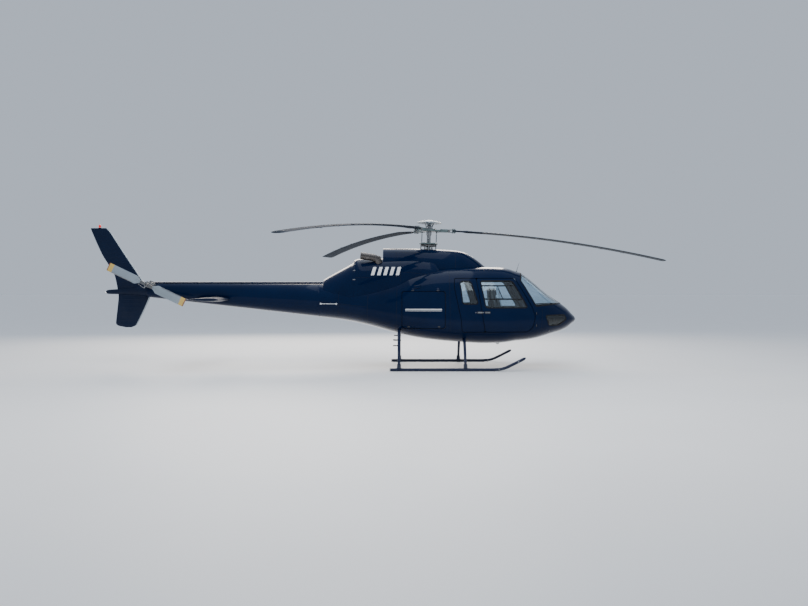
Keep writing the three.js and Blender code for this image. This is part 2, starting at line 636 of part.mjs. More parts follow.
function buildTailRotor() {
  const rotor = new THREE.Group();
  rotor.position.set(...TAIL_HUB);
  rotor.rotation.y = -TAIL_ANGLE;
  airframe.add(rotor);
  const shaft = rod([0, 100 - TOUCH, 0], [0, -30, 0], 22, 22, 16);
  const yoke = box(-150, 150, -22, 22, -34, 34).add(rod([0, 30, 0], [0, -46, 0], 52, 40, 16));
  add(rotor, 'tail_rotor_hub', shaft.add(yoke), FINISH.metal);
  add(rotor, 'tail_blade_1', tailBlade(1), FINISH.blade);
  add(rotor, 'tail_blade_2', tailBlade(-1), FINISH.blade);
}

function swashplateFixed() {
  const ring = turned([[62, 60], [185, 60], [185, 98], [62, 98], [62, 60]]);
  return sum([ring, ...[30, 150, 270].map((azimuth) => post(azimuth, 92, TOUCH, 70, 11))]);
}

function swashplateTurning() {
  const bore = MAST_RADIUS + TOUCH;
  const ring = turned([[bore, 106], [205, 106], [205, 140], [90, 152], [bore, 152], [bore, 106]]);
  return sum([ring, ...BLADE_AZIMUTHS.map((azimuth) => post(azimuth + 24, 190, 120, HORN_Z - TOUCH, 9))]);
}

function rotorStar() {
  const disc = rod([0, 0, 395], [0, 0, 455], 165, 165, 24);
  const arms = BLADE_AZIMUTHS.map((azimuth) => box(0, 420, -62, 62, 407, 443).rotate([0, 0, azimuth]));
  const bore = rod([0, 0, -100], [0, 0, 700], MAST_RADIUS + TOUCH, MAST_RADIUS + TOUCH, 20);
  return sum([disc, ...arms]).subtract(bore);
}

// Two plates that clamp the star's arm and the blade's root, with the pitch horn
function bladeSleeve() {
  return sum([
    box(240, 610, -70, 70, 443 + TOUCH, 458),
    box(240, 610, -70, 70, HORN_Z, 407 - TOUCH),
    box(424, 472, -70, 70, HORN_Z, 458),
    box(160, 300, 64, 97, HORN_Z, 407 - TOUCH),
  ]);
}

function rotorDome() {
  const foot = DOME_Z - 20 + TOUCH;
  return turned([[0, foot], [60, foot], [60, DOME_Z], [240, DOME_Z], [DOME_RADIUS, DOME_Z + 12],
    [DOME_RADIUS, DOME_Z + 22], [200, DOME_Z + 56], [90, DOME_TOP_Z], [0, DOME_TOP_Z]]);
}

function buildMainRotor() {
  const tilted = new THREE.Group();
  tilted.position.z = ROTOR_BASE_Z;
  tilted.rotation.y = ROTOR_TILT;
  airframe.add(tilted);
  add(tilted, 'swashplate_fixed', swashplateFixed(), FINISH.metal);
  add(tilted, 'swashplate_turning', swashplateTurning(), FINISH.metal);
  add(tilted, 'rotor_mast', rod([0, 0, 0], [0, 0, DOME_Z - 20], MAST_RADIUS, MAST_RADIUS, 20), FINISH.metal);
  add(tilted, 'rotor_star', rotorStar(), FINISH.metal);
  add(tilted, 'rotor_dome', rotorDome(), FINISH.metal);
  BLADE_AZIMUTHS.forEach((azimuth, k) => {
    add(tilted, `blade_sleeve_${k + 1}`, bladeSleeve().rotate([0, 0, azimuth]), FINISH.metal);
    add(tilted, `main_blade_${k + 1}`, mainBlade().rotate([0, 0, azimuth]), FINISH.blade);
  });
}

function post(azimuth, radius, z0, z1, thick) {
  const angle = THREE.MathUtils.degToRad(azimuth);
  const [x, y] = [radius * Math.cos(angle), radius * Math.sin(angle)];
  return rod([x, y, z0], [x, y, z1], thick, thick, 8);
}

function buildLandingGear() {
  for (const row of CROSS_TUBES) add(airframe, row.name, gearLeg(row), FINISH.paint);
  for (const [word, side] of SIDES) add(airframe, `skid_${word}`, skid(side), FINISH.paint);
}

buildFuselage();
buildMachinery();
buildCabin();
buildTail();
buildTailRotor();
buildMainRotor();
buildLandingGear();

export default helicopter;
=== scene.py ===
import json
import math

import bpy
import numpy as np
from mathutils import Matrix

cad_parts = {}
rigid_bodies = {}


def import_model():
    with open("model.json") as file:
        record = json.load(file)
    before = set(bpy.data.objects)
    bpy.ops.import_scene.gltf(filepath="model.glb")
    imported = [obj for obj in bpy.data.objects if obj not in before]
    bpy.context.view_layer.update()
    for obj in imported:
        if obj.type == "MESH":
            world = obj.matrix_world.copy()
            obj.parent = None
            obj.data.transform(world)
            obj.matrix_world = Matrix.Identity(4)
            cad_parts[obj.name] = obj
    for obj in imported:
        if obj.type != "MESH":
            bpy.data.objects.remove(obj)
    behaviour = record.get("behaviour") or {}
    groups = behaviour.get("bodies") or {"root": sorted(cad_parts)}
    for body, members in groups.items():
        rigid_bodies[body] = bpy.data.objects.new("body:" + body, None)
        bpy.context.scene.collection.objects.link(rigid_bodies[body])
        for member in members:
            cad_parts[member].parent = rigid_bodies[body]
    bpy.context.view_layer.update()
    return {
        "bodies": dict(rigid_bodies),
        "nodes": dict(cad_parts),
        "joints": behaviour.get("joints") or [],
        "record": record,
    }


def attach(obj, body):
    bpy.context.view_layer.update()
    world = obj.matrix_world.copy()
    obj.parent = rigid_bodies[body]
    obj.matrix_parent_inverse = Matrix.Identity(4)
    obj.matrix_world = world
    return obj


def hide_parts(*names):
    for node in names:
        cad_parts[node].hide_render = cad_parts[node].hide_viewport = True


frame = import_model()
mastX = 1.125  # the tables run forward of the rotor's mast, in metres


# Numbers to meshes

def shapeFrom(points, quads=(), tris=()):
    kinds = (("points", points, float, 3), ("quads", quads, int, 4), ("tris", tris, int, 3))
    return {key: np.asarray(values, kind).reshape(-1, size) for key, values, kind, size in kinds}


def makeShape(points, quads=(), tris=()):
    # a bag of points and faces; a closed shape that is inside out is turned round
    shape = shapeFrom(points, quads, tris)
    quads, tris = shape["quads"], shape["tris"]
    corners = np.concatenate([quads[:, :3], quads[:, [0, 2, 3]], tris])
    a, b, c = (shape["points"][corners[:, k]] for k in range(3))
    if np.einsum("ij,ij->", a, np.cross(b, c)) < 0:
        shape["quads"], shape["tris"] = quads[:, ::-1], tris[:, ::-1]
    return shape


def gridQuads(index):
    return np.stack([index[:-1, :-1], index[:-1, 1:], index[1:, 1:], index[1:, :-1]], axis=-1).reshape(-1, 4)


def gridShape(grid, around=True, caps=True, ring=False):
    # faces between neighbours of a grid of points, closed with a fan at each end
    grid = np.asarray(grid, float)
    rows, cols = grid.shape[:2]
    index = np.arange(rows * cols).reshape(rows, cols)
    if around:
        index = np.concatenate([index, index[:, :1]], axis=1)
    if ring:
        index = np.concatenate([index, index[:1]], axis=0)
    points, tris = grid.reshape(-1, 3), ()
    if caps and not ring:
        middle = np.stack([grid[0].mean(axis=0), grid[-1].mean(axis=0)])
        first, last = index[0], index[-1]
        low = np.stack([np.full(len(first) - 1, rows * cols), first[1:], first[:-1]], axis=-1)
        high = np.stack([np.full(len(last) - 1, rows * cols + 1), last[:-1], last[1:]], axis=-1)
        points, tris = np.concatenate([points, middle]), np.concatenate([low, high])
    return makeShape(points, gridQuads(index), tris)


def slabShape(outer, inner):
    # a closed plate between two grids of the same size
    index = np.arange(outer[..., 0].size).reshape(outer.shape[:2])
    edge = np.concatenate([index[0, :-1], index[:-1, -1], index[-1, :0:-1], index[:0:-1, 0]])
    after, under = np.roll(edge, -1), index.size
    rim = np.stack([edge, edge + under, after + under, after], axis=-1)
    return makeShape(np.concatenate([outer.reshape(-1, 3), inner.reshape(-1, 3)]),
                     np.concatenate([gridQuads(index), gridQuads(index + under)[:, ::-1], rim]))


def joined(shapes):
    step = np.cumsum([0] + [len(shape["points"]) for shape in shapes])
    stack = lambda key: np.concatenate([shape[key] + k for shape, k in zip(shapes, step)])
    points = np.concatenate([shape["points"] for shape in shapes])
    return {"points": points, "quads": stack("quads"), "tris": stack("tris")}


def moved(shape, change):
    # the same faces on changed points; a change that mirrors turns the faces round
    return makeShape(change(shape["points"]), shape["quads"], shape["tris"])


def mirrored(shape):
    return moved(shape, lambda p: p * [1, -1, 1])


def spun(points, axis, degrees):
    # points turned about X, Y or Z through the origin
    a, b = {"x": (1, 2), "y": (2, 0), "z": (0, 1)}[axis]
    angle = math.radians(degrees)
    result = np.array(points, float)
    result[..., a] = points[..., a] * math.cos(angle) - points[..., b] * math.sin(angle)
    result[..., b] = points[..., a] * math.sin(angle) + points[..., b] * math.cos(angle)
    return result


def turned(shape, axis, degrees, shift=(0, 0, 0)):
    return moved(shape, lambda p: spun(p, axis, degrees) + shift)


def each(parts, change):
    # one change made to every shape in a list of pairs of shape and material number
    return [(change(shape), number) for shape, number in parts]


def unit(vectors):
    return vectors / np.linalg.norm(vectors, axis=-1, keepdims=True)


def meshFrom(name, parts, smoothAngle=32):
    # one mesh from pairs of shape and material number
    whole = joined([shape for shape, _ in parts])
    mesh = bpy.data.meshes.new(name)
    mesh.vertices.add(len(whole["points"]))
    mesh.vertices.foreach_set("co", whole["points"].ravel())
    slots = [np.full(len(shape[key]), number) for key in ("quads", "tris") for shape, number in parts]
    loops = np.concatenate([whole["quads"].ravel(), whole["tris"].ravel()])
    sizes = np.repeat([4, 3], [len(whole["quads"]), len(whole["tris"])])
    mesh.loops.add(len(loops))
    mesh.loops.foreach_set("vertex_index", loops)
    mesh.polygons.add(len(sizes))
    mesh.polygons.foreach_set("loop_start", np.cumsum(sizes) - sizes)
    mesh.polygons.foreach_set("material_index", np.concatenate(slots))
    mesh.update(calc_edges=True)
    mesh.set_sharp_from_angle(angle=math.radians(smoothAngle))
    return mesh


def linked(name, data):
    thing = bpy.data.objects.new(name, data)
    bpy.context.scene.collection.objects.link(thing)
    return thing


def piece(name, parts, materials, body="airframe", replaced=(), smoothAngle=32):
    # an object with its place in its mesh, riding on a body; its materials are named in one line
    mesh = parts if isinstance(parts, bpy.types.Mesh) else meshFrom(name, parts, smoothAngle)
    mesh.name = name
    thing = linked(name, mesh)
    for material in materials.split():
        mesh.materials.append(finish[material])
    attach(thing, body)
    if replaced:
        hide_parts(*replaced)
    return thing


# Swept forms

def roundedOutline(points, radius, grow=0.0, arcSteps=8):
    # every edge moved out by grow, then each corner replaced by a quadratic arc
    p = np.array(points, float)
    edge = np.roll(p, -1, axis=0) - p
    area = np.sum(p[:, 0] * np.roll(p[:, 1], -1) - np.roll(p[:, 0], -1) * p[:, 1])
    normal = np.sign(area) * unit(np.stack([edge[:, 1], -edge[:, 0]], axis=1))
    reach = np.sum(normal * p, axis=1) + grow
    back, backReach = np.roll(normal, 1, axis=0), np.roll(reach, 1)
    cross = back[:, 0] * normal[:, 1] - back[:, 1] * normal[:, 0]
    p = np.stack([backReach * normal[:, 1] - reach * back[:, 1],
                  back[:, 0] * reach - normal[:, 0] * backReach], axis=1) / cross[:, None]
    before, after = np.roll(p, 1, axis=0) - p, np.roll(p, -1, axis=0) - p
    sizeBefore, sizeAfter = np.linalg.norm(before, axis=1), np.linalg.norm(after, axis=1)
    cut = np.minimum(radius, np.minimum(sizeBefore, sizeAfter) / 2.1)[:, None]
    start, end = p + before / sizeBefore[:, None] * cut, p + after / sizeAfter[:, None] * cut
    t = np.linspace(0, 1, arcSteps + 1)[None, :, None]
    arcs = (1 - t) ** 2 * start[:, None] + 2 * t * (1 - t) * p[:, None] + t ** 2 * end[:, None]
    return arcs.reshape(-1, 2)


def resampled(path, spacing, closed=False):
    # points at even steps of length along a path
    path = np.asarray(path, float)
    if closed:
        path = np.concatenate([path, path[:1]])
    length = np.concatenate([[0], np.cumsum(np.linalg.norm(np.diff(path, axis=0), axis=1))])
    count = max(3, int(round(length[-1] / spacing)) + 1)
    at = np.linspace(0, length[-1], count)
    even = np.stack([np.interp(at, length, path[:, k]) for k in range(path.shape[1])], axis=1)
    return even[:-1] if closed else even


def smoothCurve(points, count):
    # a path through the points with no overshoot: a monotone cubic over the point's number
    y = np.array(points, float)
    step = np.diff(y, axis=0)
    same = step[:-1] * step[1:] > 0
    slope = np.zeros_like(y)
    slope[1:-1] = np.where(same, 2 * step[:-1] * step[1:] / np.where(same, step[:-1] + step[1:], 1), 0)
    slope[0], slope[-1] = step[0], step[-1]
    t = np.linspace(0, len(y) - 1, count)
    k = np.minimum(t.astype(int), len(y) - 2)
    u = (t - k)[:, None]
    return ((2 * u ** 3 - 3 * u ** 2 + 1) * y[k] + (u ** 3 - 2 * u ** 2 + u) * slope[k]
            + (3 * u ** 2 - 2 * u ** 3) * y[k + 1] + (u ** 3 - u ** 2) * slope[k + 1])


def carried(path, profile, side, top):
    # the points of a flat profile set up at each point of a path
    return path[:, None] + profile[None, :, :1] * side[:, None] + profile[None, :, 1:] * top[:, None]


def direction(path, closed):
    return unit(np.roll(path, -1, axis=0) - np.roll(path, 1, axis=0) if closed else np.gradient(path, axis=0))


def sweep(profile, path, up=(0, 0, 1), closed=False, scale=1.0):
    # a flat profile carried along a path: its first number runs sideways, its second along up
    path = np.asarray(path, float)
    along = direction(path, closed)
    side = unit(np.cross(along, np.asarray(up, float)))
    size = np.broadcast_to(np.asarray(scale, float), len(path))[:, None]
    grid = carried(path, np.asarray(profile, float), side * size, np.cross(side, along) * size)
    return gridShape(grid, ring=closed)


def circle(radius, sides=20):
    angle = np.linspace(0, 2 * np.pi, sides, endpoint=False)
    return radius * np.stack([np.cos(angle), np.sin(angle)], axis=1)


def roundRectangle(width, height, radius, steps=4):
    w, h = width / 2, height / 2
    return roundedOutline([[-w, -h], [w, -h], [w, h], [-w, h]], radius * 1.4, arcSteps=steps)


def tube(points, radius, sides=20, steps=None, up=(0, 1, 0)):
    path = smoothCurve(points, steps or 8 * len(points))
    return sweep(circle(radius, sides), path, up)


def lathe(profile, sides=48, centre=(0, 0, 0), axis="z"):
    # a profile of radius and height turned about an axis through the centre
    profile = np.asarray(profile, float)
    ring = np.column_stack([circle(1.0, sides), np.zeros(sides)])
    grid = profile[:, None, :1] * ring[None] + profile[:, None, 1:] * np.array([0, 0, 1.0])
    order = {"z": [0, 1, 2], "y": [1, 2, 0], "x": [2, 0, 1]}[axis]
    return gridShape(grid[..., order] + np.asarray(centre, float))


def spindle(profile, sides=48, centre=(0, 0, 0), axis="z"):
    # a lathe whose profile runs on to the axis, level, at both ends
    pole = 0.0005
    return lathe([(pole, profile[0][1]), *profile, (pole, profile[-1][1])], sides, centre, axis)


def ringOf(radius, count, level, axis="z"):
    # points evenly round an axis, all at one level
    order = {"z": [0, 1, 2], "y": [0, 2, 1], "x": [2, 0, 1]}[axis]
    return np.column_stack([circle(radius, count), np.full(count, level)])[:, order]


def block(low, high, radius=0.004, steps=3):
    # a box whose upright and level edges are rounded, made of shrinking rounded rectangles
    low, high = np.asarray(low, float), np.asarray(high, float)
    size, middle = high - low, (low + high) / 2
    radius = min(radius, size.min() / 2.2)
    angle = np.linspace(0, np.pi / 2, steps + 1)
    lift = np.concatenate([radius * (1 - np.cos(angle)), size[2] - radius * (1 - np.cos(angle[::-1]))])
    inset = np.concatenate([radius * (1 - np.sin(angle)), radius * (1 - np.sin(angle[::-1]))])
    rings = [np.column_stack([roundRectangle(size[0] - 2 * d, size[1] - 2 * d, max(radius - d, 1e-4)),
                              np.full(4 * 5, z)]) for d, z in zip(inset, lift)]
    return gridShape(np.array(rings) + [middle[0], middle[1], low[2]])


def plate(outline, low, high, radius=0.003, axis="z"):
    # a flat outline given a thickness along an axis, its rims rounded
    outline = np.asarray(outline, float)
    middle = outline.mean(axis=0)
    reach = np.linalg.norm(outline - middle, axis=1).max()
    inset = np.array([radius, radius * 0.3, 0, 0, radius * 0.3, radius])
    lift = np.array([low, low + radius * 0.3, low + radius, high - radius, high - radius * 0.3, high])
    flat = middle + (outline - middle) * (1 - inset / reach)[:, None, None]
    grid = np.concatenate([flat, np.broadcast_to(lift[:, None, None], flat.shape[:2] + (1,))], axis=2)
    order = {"z": [0, 1, 2], "y": [0, 2, 1], "x": [2, 0, 1]}[axis]
    return gridShape(grid[..., order])


# Lofted skins: two half superellipses that meet at the widest line

def skinTable(rows, steps):
    table = smoothCurve(rows, steps)
    table[:, 0] += mastX
    return table


def sectionGrid(table, around):
    # y = width cos^(2/n), z = waist + height sin^(2/n), with another n and height below the waist
    angle = np.linspace(0, 2 * np.pi, around, endpoint=False)
    c, s = np.cos(angle), np.sin(angle)
    x, bottom, top, half, waist, low, high = (column[:, None] for column in table.T)
    power = 2 / np.where(s < 0, low, high)
    height = np.where(s < 0, waist - bottom, top - waist)
    y = half * np.sign(c) * np.abs(c) ** power
    z = waist + height * np.sign(s) * np.abs(s) ** power
    return np.stack([x + 0 * y, y, z], axis=-1)


def columnsAt(table, x, ahead=0.0):
    # the table's columns at stations x, read a little ahead along their own slopes
    ordered = table[np.argsort(table[:, 0])]
    values = ordered + ahead * np.gradient(ordered, ordered[:, 0], axis=0)
    return [np.interp(x, ordered[:, 0], values[:, k]) for k in range(1, 7)]


def skinLevel(table, points, ahead=0.0):
    # 1 on the skin, less inside: ((y / half)^n + (z / height)^n)^(1/n), the section's own formula
    bottom, top, half, waist, low, high = columnsAt(table, points[..., 0], ahead)
    y, z = np.abs(points[..., 1]) / half, points[..., 2] - waist
    power = np.where(z < 0, low, high)
    height = np.where(z < 0, waist - bottom, top - waist)
    return (y ** power + (np.abs(z) / height) ** power) ** (1 / power)


def skinSlope(table, points, step=0.0005):
    # the level's gradient by central differences, the tables' slopes standing in for a step along x
    along = skinLevel(table, points, step) - skinLevel(table, points, -step)
    across = [skinLevel(table, points + move) - skinLevel(table, points - move)
              for move in np.eye(3)[1:] * step]
    return np.stack([along, *across], axis=-1) / (2 * step)


def skinNormal(table, points):
    return unit(skinSlope(table, points))


def skinShape(table, around=160, offset=0.0, frontCut=None):
    if frontCut is not None:
        table = table[table[:, 0] < frontCut + mastX]
    grid = sectionGrid(table, around)
    if offset:
        grid = grid + offset * skinNormal(table, grid)
    return gridShape(grid)


def sideHeight(table, x, z, side, offset=0.0):
    # the point of the skin at a station and a height, on one side, moved out along its normal
    x = np.asarray(x, float) + mastX
    bottom, top, half, waist, low, high = columnsAt(table, x)
    power = np.where(z < waist, low, high)
    share = np.abs(z - waist) / np.where(z < waist, waist - bottom, top - waist)
    y = side * half * np.clip(1 - share ** power, 0, 1) ** (1 / power)
    points = np.stack([x, y, z + 0 * x], axis=-1)
    return points + offset * skinNormal(table, points) if offset else points


def patchShape(table, corners, side, low, high, across=24, down=8):
    # a thin plate on the skin inside four corners of x and z
    a, b, c, d = (np.array(corner, float) for corner in corners)
    u, v = np.linspace(0, 1, across)[None, :, None], np.linspace(0, 1, down)[:, None, None]
    flat = (1 - v) * ((1 - u) * a + u * b) + v * ((1 - u) * d + u * c)
    at = lambda offset: sideHeight(table, flat[..., 0], flat[..., 1], side, offset)
    return slabShape(at(high), at(low))


def rivetShape(points, normals, radius=0.004, height=0.0012):
    # low round heads: two rings and a top point for each, all at once
    points = np.asarray(points, float)
    normals = np.broadcast_to(np.asarray(normals, float), points.shape)
    helper = np.where(np.abs(normals[:, 2:]) > 0.9, [[1.0, 0, 0]], [[0, 0, 1.0]])
    sides, sunk = 8, -0.001
    u = unit(np.cross(normals, helper))
    disc = carried(0 * points, circle(radius, sides), u, np.cross(normals, u))
    rings = [points[:, None] + disc * size + normals[:, None] * lift
             for size, lift in ((1.0, sunk), (0.75, height * 0.8))]
    tips = [points[:, None] + normals[:, None] * lift for lift in (sunk, height)]
    k = np.arange(sides)
    after, low, high = (k + 1) % sides, 2 * sides, 2 * sides + 1
    quads = np.stack([k, after, after + sides, k + sides], axis=1)
    tris = np.concatenate([np.stack([k * 0 + high, k + sides, after + sides], axis=1),
                           np.stack([k * 0 + low, after, k], axis=1)])
    start = (np.arange(len(points)) * (high + 1))[:, None, None]
    return makeShape(np.concatenate(rings + tips, axis=1), quads[None] + start, tris[None] + start)


def rivetRow(table, path, side, pitch=0.04, radius=0.0035):
    path = resampled(path, pitch)
    points = sideHeight(table, path[:, 0], path[:, 1], side)
    return rivetShape(points, skinNormal(table, points), radius)


# Cutting

def toolObject(shape, name="tool"):
    return linked(name, meshFrom(name, [(shape, 0)]))


def evaluated(thing):
    # the mesh of an object with its modifiers worked out
    return bpy.data.meshes.new_from_object(thing.evaluated_get(bpy.context.evaluated_depsgraph_get()))


def carve(shape, steps):
    # a shape cut, crossed or joined with others in turn, as a finished mesh
    target = toolObject(shape, "carved")
    tools = []
    for operation, other in steps:
        tool = toolObject(other)
        cut = target.modifiers.new(operation, "BOOLEAN")
        cut.operation, cut.solver, cut.object = operation, "MANIFOLD", tool
        tools.append(tool)
    bpy.context.view_layer.update()
    mesh = evaluated(target)
    for thing in [target, *tools]:
        data = thing.data
        bpy.data.objects.remove(thing)
        bpy.data.meshes.remove(data)
    return mesh


def shapeOf(mesh, ofQuads=False):
    # a mesh read back as a shape of quads or of triangles
    points = np.zeros(len(mesh.vertices) * 3)
    mesh.vertices.foreach_get("co", points)
    if ofQuads:
        quads = np.zeros(len(mesh.loops), int)
        mesh.loops.foreach_get("vertex_index", quads)
        return shapeFrom(points, quads)
    mesh.calc_loop_triangles()
    tris = np.zeros(len(mesh.loop_triangles) * 3, int)
    mesh.loop_triangles.foreach_get("vertices", tris)
    return shapeFrom(points, tris=tris)


def onSide(shape, side):
    # the faces whose middle lies on one side of the centre plane, with only their own points
    middle = shape["points"][shape["tris"]].mean(axis=1)
    tris = shape["tris"][middle[:, 1] * side > 0]
    used, index = np.unique(tris, return_inverse=True)
    return shapeFrom(shape["points"][used], tris=index)


def boxShape(x0, x1, y0, y1, z0, z1):
    x0, x1 = x0 + mastX, x1 + mastX
    rings = [[[x0, y0, z], [x1, y0, z], [x1, y1, z], [x0, y1, z]] for z in (z0, z1)]
    return gridShape(np.array(rings))


def sidePrism(outline, side, y0=0.03, y1=1.3):
    rings = [np.column_stack([outline[:, 0] + mastX, np.full(len(outline), side * y), outline[:, 1]])
             for y in (y0, y1)]
    return gridShape(np.array(rings))


def bothPrisms(outline, y0=0.03, y1=1.3):
    return joined([sidePrism(outline, side, y0, y1) for side in (-1, 1)])


def skinFinish(shape, table, name, wall=0.04):
    # faces on the skin are material 0, on cut edges 1, on the wall's inside 2, with the skin's true normals
    outerReach, outerFacing, innerReach, innerFacing, smallest = 0.0095, 0.88, 0.014, -0.8, 1e-12
    corners = shape["points"][shape["tris"]]
    flat = np.cross(corners[:, 1] - corners[:, 0], corners[:, 2] - corners[:, 0])
    kept = np.linalg.norm(flat, axis=1) > smallest
    tris, corners, flat = shape["tris"][kept], corners[kept], unit(flat[kept])
    middle = corners.mean(axis=1)
    slope = skinSlope(table, middle)
    away = (skinLevel(table, middle) - 1) / np.linalg.norm(slope, axis=1)
    facing = np.einsum("ij,ij->i", flat, unit(slope))
    outside = (np.abs(away) < outerReach) & (facing > outerFacing)
    inside = (np.abs(away + wall) < innerReach) & (facing < innerFacing)
    mesh = meshFrom(name, [(dict(shape, tris=tris), 0)])
    kind = np.where(outside, 0, np.where(inside, 2, 1))
    mesh.polygons.foreach_set("material_index", kind.astype(np.int32))
    true = skinNormal(table, shape["points"])[tris]
    normals = np.where(outside[:, None, None], true, np.where(inside[:, None, None], -true, flat[:, None, :]))
    mesh.normals_split_custom_set(normals.reshape(-1, 3).tolist())
    return mesh


# Node helpers

def feed(tree, node, inputs):
    # each input socket gets a link or a value
    for socket, value in inputs.items():
        if isinstance(value, bpy.types.NodeSocket):
            tree.links.new(value, node.inputs[socket])
        else:
            node.inputs[socket].default_value = value


def addNode(tree, kind, inputs=None, **settings):
    node = tree.nodes.new(kind)
    for key, value in settings.items():
        setattr(node, key, value)
    feed(tree, node, inputs or {})
    return node


def noise(tree, vector, scale, detail, roughness=0.5):
    return addNode(tree, "ShaderNodeTexNoise", {
        "Vector": vector, "Scale": scale, "Detail": detail, "Roughness": roughness}).outputs[0]


def spread(tree, value, low, high, start=0.0, end=1.0):
    # a value between start and end spread between two numbers
    return addNode(tree, "ShaderNodeMapRange", {
        "Value": value, "From Min": start, "From Max": end, "To Min": low, "To Max": high}).outputs[0]


def product(tree, first, second):
    settings = {"operation": "MULTIPLY", "use_clamp": True}
    return addNode(tree, "ShaderNodeMath", {0: first, 1: second}, **settings).outputs[0]


def mixColours(tree, mask, first, second):
    colour = lambda value: value if isinstance(value, bpy.types.NodeSocket) else (*value, 1)
    inputs = {"Factor_Float": mask, "A_Color": colour(first), "B_Color": colour(second)}
    mix = tree.nodes.new("ShaderNodeMix")
    mix.data_type = "RGBA"
    places = {socket.identifier: k for k, socket in enumerate(mix.inputs)}
    feed(tree, mix, {places[name]: value for name, value in inputs.items()})
    return next(socket for socket in mix.outputs if socket.enabled)


def bumped(tree, height, strength, distance):
    return addNode(tree, "ShaderNodeBump", {
        "Height": height, "Strength": strength, "Distance": distance}).outputs[0]


def newGroup(name, inputs, outputs):
    # a group that reads a vector and some numbers, by name, and gives numbers
    group = bpy.data.node_groups.new(name, "ShaderNodeTree")
    group.interface.new_socket("Vector", in_out="INPUT", socket_type="NodeSocketVector")
    for label, value in inputs.items():
        group.interface.new_socket(label, in_out="INPUT", socket_type="NodeSocketFloat").default_value = value
    for label in outputs:
        group.interface.new_socket(label, in_out="OUTPUT", socket_type="NodeSocketFloat")
    return group, addNode(group, "NodeGroupInput").outputs, addNode(group, "NodeGroupOutput")


def buildFilm():
    # dust that thickens towards low places and is broken up by noise
    group, start, end = newGroup("settledFilm", {"Low": 0.5, "High": 1.5, "Amount": 0.3, "Scale": 4.0},
                                 ["Mask"])
    height = addNode(group, "ShaderNodeSeparateXYZ", {0: start["Vector"]}).outputs[2]
    fall = spread(group, height, 1.0, 0.12, start["Low"], start["High"])
    patch = spread(group, noise(group, start["Vector"], start["Scale"], 6.0, 0.62), 0.0, 1.0, 0.35, 0.75)
    feed(group, end, {"Mask": product(group, product(group, fall, patch), start["Amount"])})
    return group


def buildGrain():
    # fine bumps for leather, moulding and cast skins, with a slow drift in tone
    group, start, end = newGroup("surfaceGrain", {"Scale": 200.0, "Drift": 3.0}, ["Height", "Tone"])
    cells = addNode(group, "ShaderNodeTexVoronoi", {
        "Vector": start["Vector"], "Scale": start["Scale"]}, feature="SMOOTH_F1").outputs["Distance"]
    fine = noise(group, start["Vector"], start["Scale"], 3.0)
    height = addNode(group, "ShaderNodeMath", {0: cells, 1: fine}, operation="ADD").outputs[0]
    feed(group, end, {"Height": height, "Tone": noise(group, start["Vector"], start["Drift"], 4.0)})
    return group


def buildScratches():
    # long thin wear lines along X, from stretched noise
    group, start, end = newGroup("rubbedLines", {"Scale": 30.0, "Amount": 0.3}, ["Mask"])
    stretch = addNode(group, "ShaderNodeMapping", {
        "Vector": start["Vector"], "Scale": (0.08, 1.0, 1.6)}).outputs[0]
    sharp = spread(group, noise(group, stretch, start["Scale"], 5.0, 0.7), 0.0, 1.0, 0.55, 0.75)
    feed(group, end, {"Mask": product(group, sharp, start["Amount"])})
    return group


film, grain, scratches = buildFilm(), buildGrain(), buildScratches()


def useGroup(tree, group, inputs):
    return addNode(tree, "ShaderNodeGroup", inputs, node_tree=group).outputs


def newMaterial(name, plain):
    # plain holds the shader's own values, by socket name
    material = bpy.data.materials.new(name)
    material.use_nodes = True
    tree = material.node_tree
    shader = tree.nodes["Principled BSDF"]
    feed(tree, shader, plain)
    return material, tree, shader, addNode(tree, "ShaderNodeTexCoord").outputs["Object"]


def paint(name, look):
    # glossy coat over paint, with a film of dust low down, faint waves and a slow drift in tone
    material, tree, shader, place = newMaterial(name, {
        "Coat Weight": look["coat"], "Coat Roughness": 0.05, "Coat IOR": look.get("coatIndex", 1.5),
        "Specular IOR Level": look.get("shine", 0.5)})
    dust = useGroup(tree, film, {"Vector": place, "Low": look["dustLow"], "High": look["dustHigh"],
                                 "Amount": look["dust"], "Scale": 3.0})["Mask"]
    tone = useGroup(tree, grain, {"Vector": place, "Scale": 60.0, "Drift": 1.4})["Tone"]
    base = mixColours(tree, tone, look["deep"], look["light"])
    feed(tree, shader, {
        "Base Color": mixColours(tree, dust, base, look["dustColour"]),
        "Roughness": spread(tree, dust, look["rough"], 0.75),
        "Normal": bumped(tree, noise(tree, place, 9.0, 2.0), look.get("wave", 0.1), 0.004)})
    return material


def metal(name, look):
    # bare or painted metal with rubbed lines and stains
    material, tree, shader, place = newMaterial(name, {"Metallic": look["metal"]})
    lines = useGroup(tree, scratches, {"Vector": place, "Scale": look.get("lineScale", 40.0),
                                       "Amount": look.get("lines", 0.4)})["Mask"]
    skin = useGroup(tree, grain, {"Vector": place, "Scale": 300.0, "Drift": 9.0})
    base = mixColours(tree, spread(tree, skin["Tone"], -0.4, 1.4), look["deep"], look["light"])
    feed(tree, shader, {
        "Base Color": mixColours(tree, lines, base, look["bare"]),
        "Roughness": spread(tree, skin["Tone"], look["rough"] - 0.12, look["rough"] + 0.15),
        "Normal": bumped(tree, skin["Height"], look.get("bump", 0.15), 0.0008)})
    return material


def softSkin(name, look):
    # leather, rubber, carpet and moulded plastic: grain in the normal and drift in the colour
    material, tree, shader, place = newMaterial(name, look.get("plain", {}))
    skin = useGroup(tree, grain, {"Vector": place, "Scale": look["scale"], "Drift": 6.0})
    feed(tree, shader, {
        "Base Color": mixColours(tree, spread(tree, skin["Tone"], -0.3, 1.3), look["deep"], look["light"]),
        "Roughness": spread(tree, skin["Tone"], look["rough"] - 0.1, look["rough"] + 0.12),
        "Normal": bumped(tree, skin["Height"], look["bump"], look.get("depth", 0.001))})
    return material


